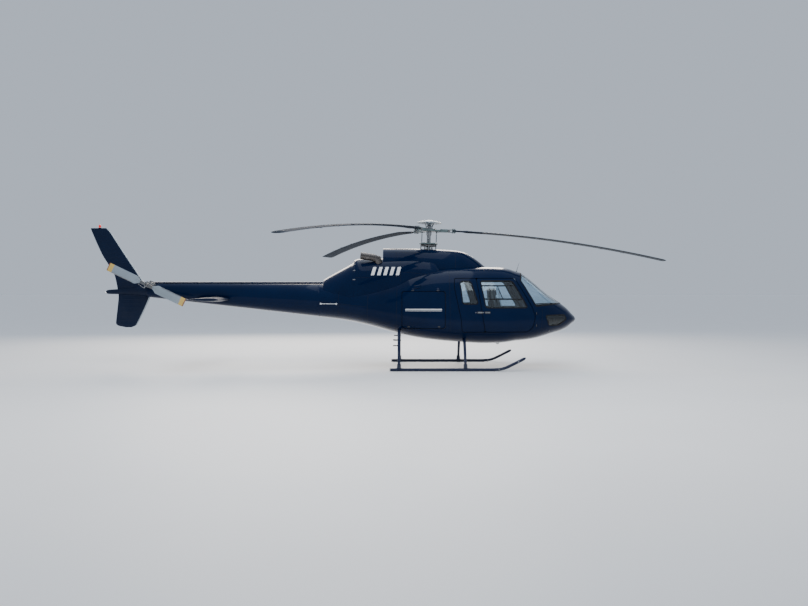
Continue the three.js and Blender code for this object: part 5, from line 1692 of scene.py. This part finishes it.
def makeSeat(x, y0, y1, name, node, places):
    floor, tilt, lean = cabin["floor"], -4.1, 79.3
    lip = [(-0.04, 1.0), (0.43, 1.0), (0.47, 1.035), (0.46, 1.05), (-0.06, 1.03)]
    shell = [(-0.075, 1.03), (-0.045, 1.03), (-0.11, 1.74), (-0.155, 1.755), (-0.158, 1.72), (-0.095, 1.1)]
    base = [(block((x + mastX - 0.02, y0 + 0.03, floor), (x + mastX + 0.4, y1 - 0.03, 1.0), 0.02), 0),
            (sidePlate(lip, 0.012, y0 + 0.004, y1 - 0.004, 0.004, x), 0),
            (sidePlate(shell, 0.012, y0 + 0.01, y1 - 0.01, 0.006, x), 0)]
    for y in (y0 + 0.06, y1 - 0.06):
        low, high = (x + mastX - 0.035, y - 0.018, floor), (x + mastX + 0.44, y + 0.018, floor + 0.024)
        base.append((block(low, high, 0.005), 1))
    piece(f"{name}Frame", base, "trim steel")
    width = (y1 - y0) / places
    for k in range(places):
        y, tag, side = y0 + width * (k + 0.5), f"{name}{k + 1}" if places > 1 else name, width * 0.31
        makePad(f"{tag}Cushion", 0.44, width - 0.016, cabin["cushion"], (-0.08, 0.1), (side,), tilt,
                x + 0.262, y, 1.03, None if k else node)
        makePad(f"{tag}Back", 0.47, width - 0.024, cabin["back"], (-0.12, 0.02), (side,), lean,
                x - 0.0715, y, 1.335)
        makePad(f"{tag}HeadRest", 0.15, min(0.28, width - 0.06), 0.07, (), (), lean, x - 0.127, y, 1.665)
        makeBelt(f"{tag}Belt", x, y, width / 2 - 0.03)


def onPanel(shape, y, z):
    # an instrument made looking along -X at the origin, seated on the leaning face
    run, rise, foot = 0.05, 0.345, 2.2265
    x = foot + run * (z - 1.0) / rise
    return placed(shape, math.degrees(math.atan2(run, rise)), x, y, z)


def dialParts(y, z, radius, turn):
    steps = ((1, 0.0), (1, -0.008), (0.93, -0.0105), (0.86, -0.009), (0.84, -0.004))
    bezel = [(radius * share, x) for share, x in steps]
    face = [(radius * 0.83, -0.0042), (radius * 0.83, -0.0047)]
    reach, half = 0.68 * radius, 0.0006
    middles = [(reach * math.sin(a), reach * math.cos(a)) for a in np.radians(np.arange(-140, 141, 28))]
    ticks = joined([block((-0.0056, dy - half, dz - half), (-0.0044, dy + half, dz + half), 0.0003)
                    for dy, dz in middles])
    hand = block((-0.0066, -0.0008, -radius * 0.2), (-0.005, 0.0008, radius * 0.66), 0.0004)
    return [(onPanel(shape, y, z), material) for shape, material in (
        (spindle(bezel, 36, axis="x"), 0), (spindle(face, 32, axis="x"), 1), (ticks, 2),
        (turned(hand, "x", turn), 2))]


def makeConsole():
    half = 0.278
    top = [(2.232, 1.0), (2.56, 1.0), (2.595, 1.18), (2.46, 1.325), (2.278, 1.325)]
    foot = [(2.085, 0.8003), (2.55, 0.8003), (2.56, 1.004), (2.235, 1.004), (2.16, 0.94)]
    hood = [(2.2405, 1.327), (2.462, 1.327), (2.47, 1.335), (2.45, 1.3445), (2.25, 1.3445)]
    parts = [(sidePlate(top, 0.012, -half, half, 0.006), 0), (sidePlate(foot, 0.015, -0.15, 0.15, 0.008), 0),
             (sidePlate(hood, 0.004, -half, half, 0.003), 1)]
    rows = (  # places, height, radius, first turn of the hand and its step
        ((-0.225, -0.14, -0.055, 0.055, 0.14, 0.225), 1.272, 0.037, -70, 47),
        ((-0.225, -0.14, 0.14, 0.225), 1.187, 0.037, 95, -60),
        ((-0.24, -0.185, -0.13, 0.13, 0.185, 0.24), 1.118, 0.023, 30, 40))
    for places, z, radius, turn, step in rows:
        for k, y in enumerate(places):
            parts += dialParts(y, z, radius, turn + step * k)
    knob = spindle([(0.009, 0), (0.009, -0.012), (0.007, -0.014)], 20, (-0.008, 0, 0), "x")
    slabs = [(0.012, 0.0, 0.085, 0.05, 0.005, 1.17, 0), (0.0128, 0.011, 0.074, 0.04, 0.001, 1.17, 1)]
    for z in (1.085, 1.05):
        slabs += [(0.008, 0.0, 0.085, 0.014, 0.002, z, 0), (0.0092, 0.0078, 0.05, 0.008, 0.0006, z, 1)]
        parts += [(onPanel(knob, y, z), 3) for y in (-0.07, 0.07)]
    for front, back, wide, tall, radius, z, material in slabs:
        parts.append((onPanel(block((-front, -wide, -tall), (-back, wide, tall), radius), 0, z), material))
    toggle = tube([(0, 0, 0), (-0.006, 0, 0.001), (-0.014, 0, 0.004)], 0.0022, 8)
    parts += [(onPanel(toggle, y, 1.018), 3) for y in np.linspace(-0.25, 0.25, 16)]
    piece("panelAndPedestal", parts, "trim screen pale steel", replaced=["instrument_console"],
          smoothAngle=40)


def makeControls():
    # a curved stick with its grip, a side lever and a pair of pedals for each front seat
    boot = [(0.055, 0.8005), (0.055, 0.806), (0.045, 0.812), (0.048, 0.82), (0.036, 0.828), (0.038, 0.836),
            (0.024, 0.846), (0.014, 0.86), (0.0005, 0.862)]
    tread = [(block((-0.006, -0.045, -0.035), (0.006, 0.045, 0.035), 0.005), 0)]
    tread += [(block((-0.0085, -0.04, z - 0.003), (-0.005, 0.04, z + 0.003), 0.001), 1)
              for z in (-0.022, -0.007, 0.008, 0.023)]
    for side, word in words.items():
        y = side * 0.42
        line = lambda steps, dy=0.0: [(x + mastX, y + dy, z) for x, z in steps]
        stick = tube(line([(2.06, 0.8), (2.09, 0.86), (2.13, 0.98), (2.09, 1.12), (2.07, 1.17)]), 0.011, 18)
        held = line([(2.07, 1.165), (2.067, 1.18), (2.062, 1.21), (2.056, 1.25), (2.05, 1.27),
                     (2.047, 1.282)])
        grip = sweep(circle(1.0, 24), held, (0, 1, 0), scale=[0.014, 0.019, 0.0175, 0.019, 0.021, 0.012])
        lever = line([(1.62, 0.86), (1.78, 0.93), (1.95, 1.02), (2.03, 1.06)], -0.262)
        sleeve = sweep(circle(0.018, 20), smoothCurve(lever[2:], 10), (0, 1, 0))
        bar = tube([(2.62 + mastX, y + dy, 0.83) for dy in (-0.14, 0, 0.14)], 0.012, 14, up=(0, 0, 1))
        parts = [(stick, 0), (lathe(boot, 32, (2.066 + mastX, y, 0)), 1), (grip, 1),
                 (tube(lever, 0.012, 16), 0), (sleeve, 1), (bar, 0)]
        for dy in (-0.1, 0.1):
            parts.append((tube(line([(2.62, 0.83), (2.6, 0.92), (2.57, 0.99)], dy), 0.009, 14), 0))
            parts += each(tread, lambda shape: placed(shape, -20, 2.562, y + dy, 0.99))
        piece(f"flightControls_{word}", parts, "castGrey rubber")


for seat in cabin["seats"]:
    makeSeat(*seat)
makeConsole()
makeControls()
print("cabin ready")


# Seals, seams, straps, rivets and hardware on the skins

def stripShape(table, centre, width, low, high, closed=False):
    # a soft-edged strip along points that lie on a skin
    normal = skinNormal(table, centre)
    w, soft = width / 2, min(width, high - low) * 0.3
    profile = np.array([[-w, low], [-w, high - soft], [soft - w, high], [w - soft, high], [w, high - soft],
                        [w, low]])
    across = unit(np.cross(normal, direction(centre, closed)))
    return gridShape(carried(centre, profile, across, normal), ring=closed)


def sideLine(table, path, side, closed=False, spacing=0.015):
    # a path of x and z laid on one side of a skin, in steps of even length there
    dense = resampled(path, 0.0008, closed)
    return resampled(sideHeight(table, dense[:, 0], dense[:, 1], side), spacing, closed)


def topLine(table, path, spacing=0.02):
    # a path of x and y laid on the upper half of a skin
    x, y = (resampled(path, 0.002) + [mastX, 0]).T
    _, top, half, waist, _, power = columnsAt(table, x)
    z = waist + (top - waist) * np.clip(1 - (np.abs(y) / half) ** power, 0, 1) ** (1 / power)
    return resampled(np.column_stack([x, y, z]), spacing)


def hullStrip(path, side, width, low, high, closed=False):
    return stripShape(hullTable, sideLine(hullTable, path, side, closed), width, low, high, closed)


def makeSeals():
    bars = [(1.117, 1.82), (1.83, 1.82)], [(1.165, 1.52), (2.0, 1.52)], [(1.568, 1.52), (1.449, 1.82)]
    lower = [(2.953, 1.4345), (2.63, 1.406), (2.33, 1.3775), (2.298, 1.383), (1.99, 1.92), (1.985, 1.94),
             (2.034, 2.105)]
    for window, door in (("frontWindow", "front_door_"), ("rearWindow", "rear_door_"), ("chinWindow", None)):
        for side, word in words.items():
            parts = [(hullStrip(outline(window), side, 0.024, -0.004, 0.0024, True), 0)]
            if window == "frontWindow":
                parts += [(hullStrip(path, side, 0.018, -0.0065, -0.001), 0) for path in bars]
                pull = sideHeight(hullTable, [1.49], [1.66], side, -0.002)
                parts.append((rivetShape(pull, skinNormal(hullTable, pull), 0.013, 0.012), 1))
            piece(f"{window}Seal_{word}", parts, "rubber trim", door + word if door else "airframe")
    for side, word in words.items():
        middle = topLine(hullTable, [(2.955, side * 0.037), (2.045, side * 0.037)])
        parts = [(hullStrip(lower, side, 0.03, -0.005, 0.003), 0),
                 (stripShape(hullTable, middle, 0.01, -0.004, 0.0022), 0)]
        piece(f"windscreenFrame_{word}", parts, "rubber")


seams = {
    "hull": [[(0.44, 0.84), (0.425, 2.12)], [(-0.72, 0.84), (-0.7, 1.75)], [(-1.35, 1.0), (-1.33, 1.6)],
             [(-2.0, 1.1), (-1.98, 1.72)], [(2.42, 0.7), (2.44, 1.32)], [(-1.33, 1.35), (-2.42, 1.47)]],
    "engine": [[(-0.62, 1.9), (-0.62, 2.36)], [(-0.62, 2.02), (-1.62, 1.99)], [(-1.05, 2.01), (-1.05, 2.3)],
               [(0.05, 2.05), (-0.62, 2.12)]],
    "gearbox": [[(0.58, 2.2), (0.58, 2.53)], [(0.58, 2.53), (-0.95, 2.56)], [(-0.3, 2.45), (-0.3, 2.56)],
                [(-0.72, 2.46), (-0.72, 2.56)]],
}
rivets = {
    "hull": [[(0.46, 0.86), (0.445, 2.1)], [(0.405, 0.86), (0.39, 2.1)], [(-0.74, 0.84), (-0.72, 1.74)],
             [(-1.33, 1.33), (-2.42, 1.45)], [(-1.33, 1.37), (-2.42, 1.49)], [(0.36, 1.78), (-0.62, 1.75)],
             [(-0.66, 1.0), (-0.66, 1.66)], [(0.36, 0.84), (-0.6, 0.84)], [(2.44, 0.7), (2.46, 1.32)]],
    "engine": [[(-0.64, 1.92), (-0.64, 2.34)], [(-0.64, 2.0), (-1.6, 1.97)], [(-1.07, 2.03), (-1.07, 2.3)],
               [(-1.67, 1.9), (-1.67, 2.3)]],
    "gearbox": [[(0.6, 2.2), (0.6, 2.5)], [(0.56, 2.55), (-0.95, 2.58)], [(-0.98, 2.45), (-0.98, 2.6)]],
}


def rivetLine(table, points):
    return rivetShape(points, skinNormal(table, points), 0.0032, 0.0008)


def makeSeams():
    tables = {"hull": hullTable, "engine": engineTable, "gearbox": gearboxTable}
    for key, table in tables.items():
        parts = []
        for side in words:
            for path in seams[key]:
                parts.append((stripShape(table, sideLine(table, path, side), 0.004, -0.001, 0.0004), 0))
            parts += [(rivetLine(table, sideLine(table, path, side, spacing=0.034)), 1)
                      for path in rivets[key]]
        piece(f"{key}SeamsAndRivets", parts, "rubber navy")
    for side, word in words.items():
        door = [(-0.02, 1.66), (-0.56, 1.66), (-0.56, 0.94), (0.3, 0.94), (0.3, 1.66)]
        heads = rivetLine(hullTable, sideLine(hullTable, door, side, True, 0.05))
        piece(f"holdDoorRivets_{word}", [(heads, 0)], "navy", f"hold_door_{word}")


def makeCowlStrap():
    x = cowls["strapX"]
    latch = block((-0.03, -0.011, 0), (0.03, 0.011, 0.007), 0.003)
    parts = [(hoopShape(engineTable, x, 0.028, -0.002, 0.0022), 0),
             (hoopRivets(engineTable, x + 0.022, 70), 0)]
    parts += [(onSkin(engineTable, x, z, side)(latch), 1) for side in words for z in (1.95, 2.15, 2.28)]
    piece("cowlStrap", parts, "navy steel")


def onSkin(table, x, z, side):
    # a change that lays a shape made on a level plane on a skin: its x runs along, its z is the normal
    at = sideHeight(table, x, z, side)
    normal = skinNormal(table, at)
    u = unit(np.array([1.0, 0, 0]) - normal[0] * normal)
    turn = np.stack([u, np.cross(normal, u), normal])
    return lambda shape: moved(shape, lambda p: p @ turn + at)


def makeDoorHardware():
    patch = lambda length, width, corner, steps, *rest: plate(
        roundRectangle(length, width, corner, steps), *rest)
    handle = [(patch(0.13, 0.05, 0.02, 6, 0.0, 0.0022, 0.0008), 0),
              (patch(0.1, 0.022, 0.01, 5, 0.006, 0.0125, 0.002), 1),
              (spindle([(0.009, 0), (0.009, 0.0065)], 20, (0.03, 0, 0)), 1),
              (lathe([(0.0005, 0), (0.011, 0), (0.0105, 0.003), (0.0005, 0.0034)], 24, (-0.09, 0, 0)), 1)]
    latch = [(patch(0.05, 0.036, 0.008, 4, 0.0, 0.0024, 0.0008), 0),
             (patch(0.036, 0.014, 0.005, 4, 0.0024, 0.0062, 0.0012), 0)]
    for side, word in words.items():
        for name, parts, x, z, materials, body in (
                (f"frontDoorHandle_{word}", handle, 1.235, 1.24, "trim steel", f"front_door_{word}"),
                (f"rearDoorHandle_{word}", handle, 1.075, 1.24, "trim steel", f"rear_door_{word}"),
                (f"holdLatch_{word}_rear", latch, -0.45, 0.935, "trim", f"hold_door_{word}"),
                (f"holdLatch_{word}_front", latch, 0.2, 0.935, "trim", f"hold_door_{word}")):
            piece(name, each(parts, onSkin(hullTable, x, z, side)), materials, body)
        makeHinges(side, word)


def makeHinges(side, word):
    # knuckles on the doors' own axes: two upright pins ahead of the front door, two along the hold door's top
    pins = []
    pin = [(0.008, -0.024), (0.0095, -0.022), (0.0095, 0.022), (0.008, 0.024)]
    mount = plate(roundRectangle(0.045, 0.044, 0.006, 3), -0.001, 0.006, 0.001)
    for z in (0.96, 1.22):
        pins += [(spindle(pin, 20, (2.3 + mastX, side * 0.797, z)), 0),
                 (onSkin(hullTable, 2.33, z, side)(mount), 1)]
    piece(f"frontHinge_{word}", pins, "trim navy")
    pins, arms, axisZ = [], [], 1.712
    barrel = spindle([(0.006, -0.03), (0.0075, -0.028), (0.0075, 0.028), (0.006, 0.03)], 18, axis="x")
    for x in (-0.36, 0.18):
        axis = np.array([x + mastX, side * (0.8765 + (x + 0.09) * 0.1034), axisZ])
        high, low = (sideHeight(hullTable, x, z, side) for z in (1.76, 1.66))
        bent = lambda foot, lift: (foot + axis) / 2 + [0, side * 0.004, lift]
        pins.append((turned(barrel, "z", side * 5.9, axis), 0))
        line = [high - [0, side * 0.006, 0], bent(high, 0.006), axis + [0, 0, 0.002]]
        pins.append((sweep(roundRectangle(0.04, 0.007, 0.002), line, (0, side, 0.4)), 1))
        line = [axis - [0, 0, 0.012], bent(low, -0.004), low - [0, side * 0.003, 0]]
        arms.append((sweep(roundRectangle(0.03, 0.006, 0.002), line, (0, side, 0.4)), 0))
    piece(f"holdHinge_{word}", pins, "trim navy")
    piece(f"holdHingeArm_{word}", arms, "navy", f"hold_door_{word}")


def makeFittings():
    whip = np.array([[1.985, 0, 2.128], [1.99, 0, 2.15], [2.02, 0, 2.25], [2.05, 0, 2.345]]) + [mastX, 0, 0]
    foot = [(0.024, 2.12), (0.02, 2.142), (0.01, 2.15)]
    fin = [(1.5, 0.553), (1.62, 0.558), (1.585, 0.5), (1.545, 0.498)]
    base = roundRectangle(0.15, 0.05, 0.02, 6) + [1.56 + mastX, 0]
    parts = [(sweep(circle(1.0, 12), whip, (0, 1, 0), scale=[0.009, 0.006, 0.003, 0.0015]), 0),
             (spindle(foot, 24, (1.985 + mastX, 0, 0)), 0), (sidePlate(fin, 0.01, -0.005, 0.005, 0.003), 1),
             (plate(base, 0.54, 0.553, 0.003), 1)]
    piece("antennasAndFittings", parts, "rubber pale")
    for make in (makeRail, makeScoop, makeLandingLamp, makeJambs):
        for side, word in words.items():
            make(side, word)
    web = [(2.62, 0.8005), (2.84, 0.8005), (3.0, 0.9), (3.1, 1.0), (3.08, 1.14), (2.95, 1.24), (2.62, 1.24)]
    piece("noseBayWeb", [(sidePlate(web, 0.02, -0.012, 0.012, 0.003), 0)], "trim")
    for side, word in words.items():
        makeStops(side, word)


def makeRail(side, word):
    # a bent rod antenna on two pale feet, on each side ahead of the boom's joint
    feet = [sideHeight(hullTable, x, 1.42, side) for x in (-2.03, -2.38)]
    out = [foot + [0, side * 0.055, 0] for foot in feet]
    line = [feet[0] + [0.004, -side * 0.006, 0], (out[0] + feet[0]) / 2, out[0] + [-0.014, 0, 0],
            (out[0] + out[1]) / 2, out[1] + [0.014, 0, 0], (out[1] + feet[1]) / 2,
            feet[1] + [0, -side * 0.006, 0]]
    base = spindle([(0.02, -0.003), (0.02, 0.006), (0.013, 0.012), (0.011, 0.03)], 24)
    parts = [(sweep(circle(0.006, 14), smoothBend(line, 0.004, 4), (0, 0, 1)), 0)]
    parts += [(onSkin(hullTable, x, 1.42, side)(base), 0) for x in (-2.03, -2.38)]
    piece(f"railAntenna_{word}", parts, "pale")


def makeScoop(side, word):
    # a shallow air scoop: a half-open hood whose height follows a sine along its length
    u, v = np.linspace(0, 1, 20)[:, None], np.linspace(0, np.pi, 19)[None, :]
    width, height = 0.05 * (0.5 + 0.5 * u), 0.03 * np.sin(u * np.pi / 2)
    hood = slabShape(*(np.stack([start + length * u + 0 * v, wide * width * np.cos(v),
                                 tall * height * np.sin(v) - 0.001], axis=-1)
                       for start, length, wide, tall in ((-0.08, 0.15, 1.0, 1.0),
                                                         (-0.078, 0.148, 0.86, 0.84))))
    mouth = plate(roundRectangle(0.13, 0.084, 0.02, 5), 0.0, 0.0012, 0.0004)
    piece(f"airScoop_{word}", each([(hood, 0), (mouth, 1)], onSkin(hullTable, -0.27, 1.79, side)),
          "navy rubber")


def makeLandingLamp(side, word):
    y = side * 0.42
    bowl = [(0.0005, -0.05), (0.03, -0.045), (0.055, -0.02), (0.062, 0.0), (0.066, 0.0), (0.066, -0.004),
            (0.058, -0.026), (0.032, -0.052), (0.0005, -0.058)]
    lens = [(0.0005, 0.006), (0.04, 0.004), (0.061, -0.002), (0.061, -0.005), (0.0005, 0.002)]
    lamp = [(placed(lathe(profile, 40, axis="x"), 12, 2.78, y, 1.04), material) for profile, material in (
        (bowl, 2), (lens, 1))]
    stalk = block((2.7 + mastX, y - 0.01, 0.8005), (2.72 + mastX, y + 0.01, 1.03), 0.003)
    piece(f"landingLamp_{word}", [*lamp, (stalk, 2)], "steel whiteLens trim")


def makeJambs(side, word):
    # a rubber-faced flange inside each doorway, and the post behind the joint of the two doors
    parts = [hullStrip(outline("doorway", 0.006), side, 0.066, -0.058, -0.0465, True),
             hullStrip([(1.187, 0.83), (1.003, 1.97)], side, 0.06, -0.085, -0.0465),
             hullStrip(outline("holdDoor"), side, 0.06, -0.058, -0.0465, True)]
    piece(f"doorJambs_{word}", [(shape, 0) for shape in parts], "rubber")


def makeStops(side, word):
    # the sill blocks that the closed doors rest on
    parts = []
    for x0, x1, level in cabin["stops"]:
        y = abs(float(sideHeight(hullTable, (x0 + x1) / 2, level + 0.02, side)[1])) - 0.062
        near, away = sorted((side * y, side * (y + 0.022)))
        parts.append((block((x0 + mastX, near, level), (x1 + mastX, away, level + 0.03), 0.004), 0))
    piece(f"sillStops_{word}", parts, "rubber")


makeSeals()
makeSeams()
makeCowlStrap()
makeDoorHardware()
makeFittings()
print("seals, seams and fittings ready")


# Plain bars and a stripe in place of the markings

marks = {"count": 5, "step": 0.135, "start": -0.66, "low": 2.045, "high": 2.225, "slant": 0.05, "width": 0.07}


def makeMarks():
    low, high, width, lean = marks["low"], marks["high"], marks["width"], marks["slant"]
    patch = lambda table, corners, side, *counts: (
        patchShape(table, corners, side, -0.0006, 0.0005, *counts), 0)
    for side, word in words.items():
        starts = [marks["start"] - k * marks["step"] for k in range(marks["count"])]
        bars = [patch(engineTable, [(x, low), (x - width, low), (x - width + lean, high), (x + lean, high)],
                      side, 8, 10) for x in starts]
        piece(f"cowlBars_{word}", bars, "pale")
        stripes = [patch(hullTable, [(0.26, z0), (-0.52, z0), (-0.52, z1), (0.26, z1)], side, 50, 3)
                   for z0, z1 in ((1.3, 1.318), (1.272, 1.281))]
        piece(f"holdStripe_{word}", stripes, "pale", f"hold_door_{word}")


makeMarks()
print("markings ready")
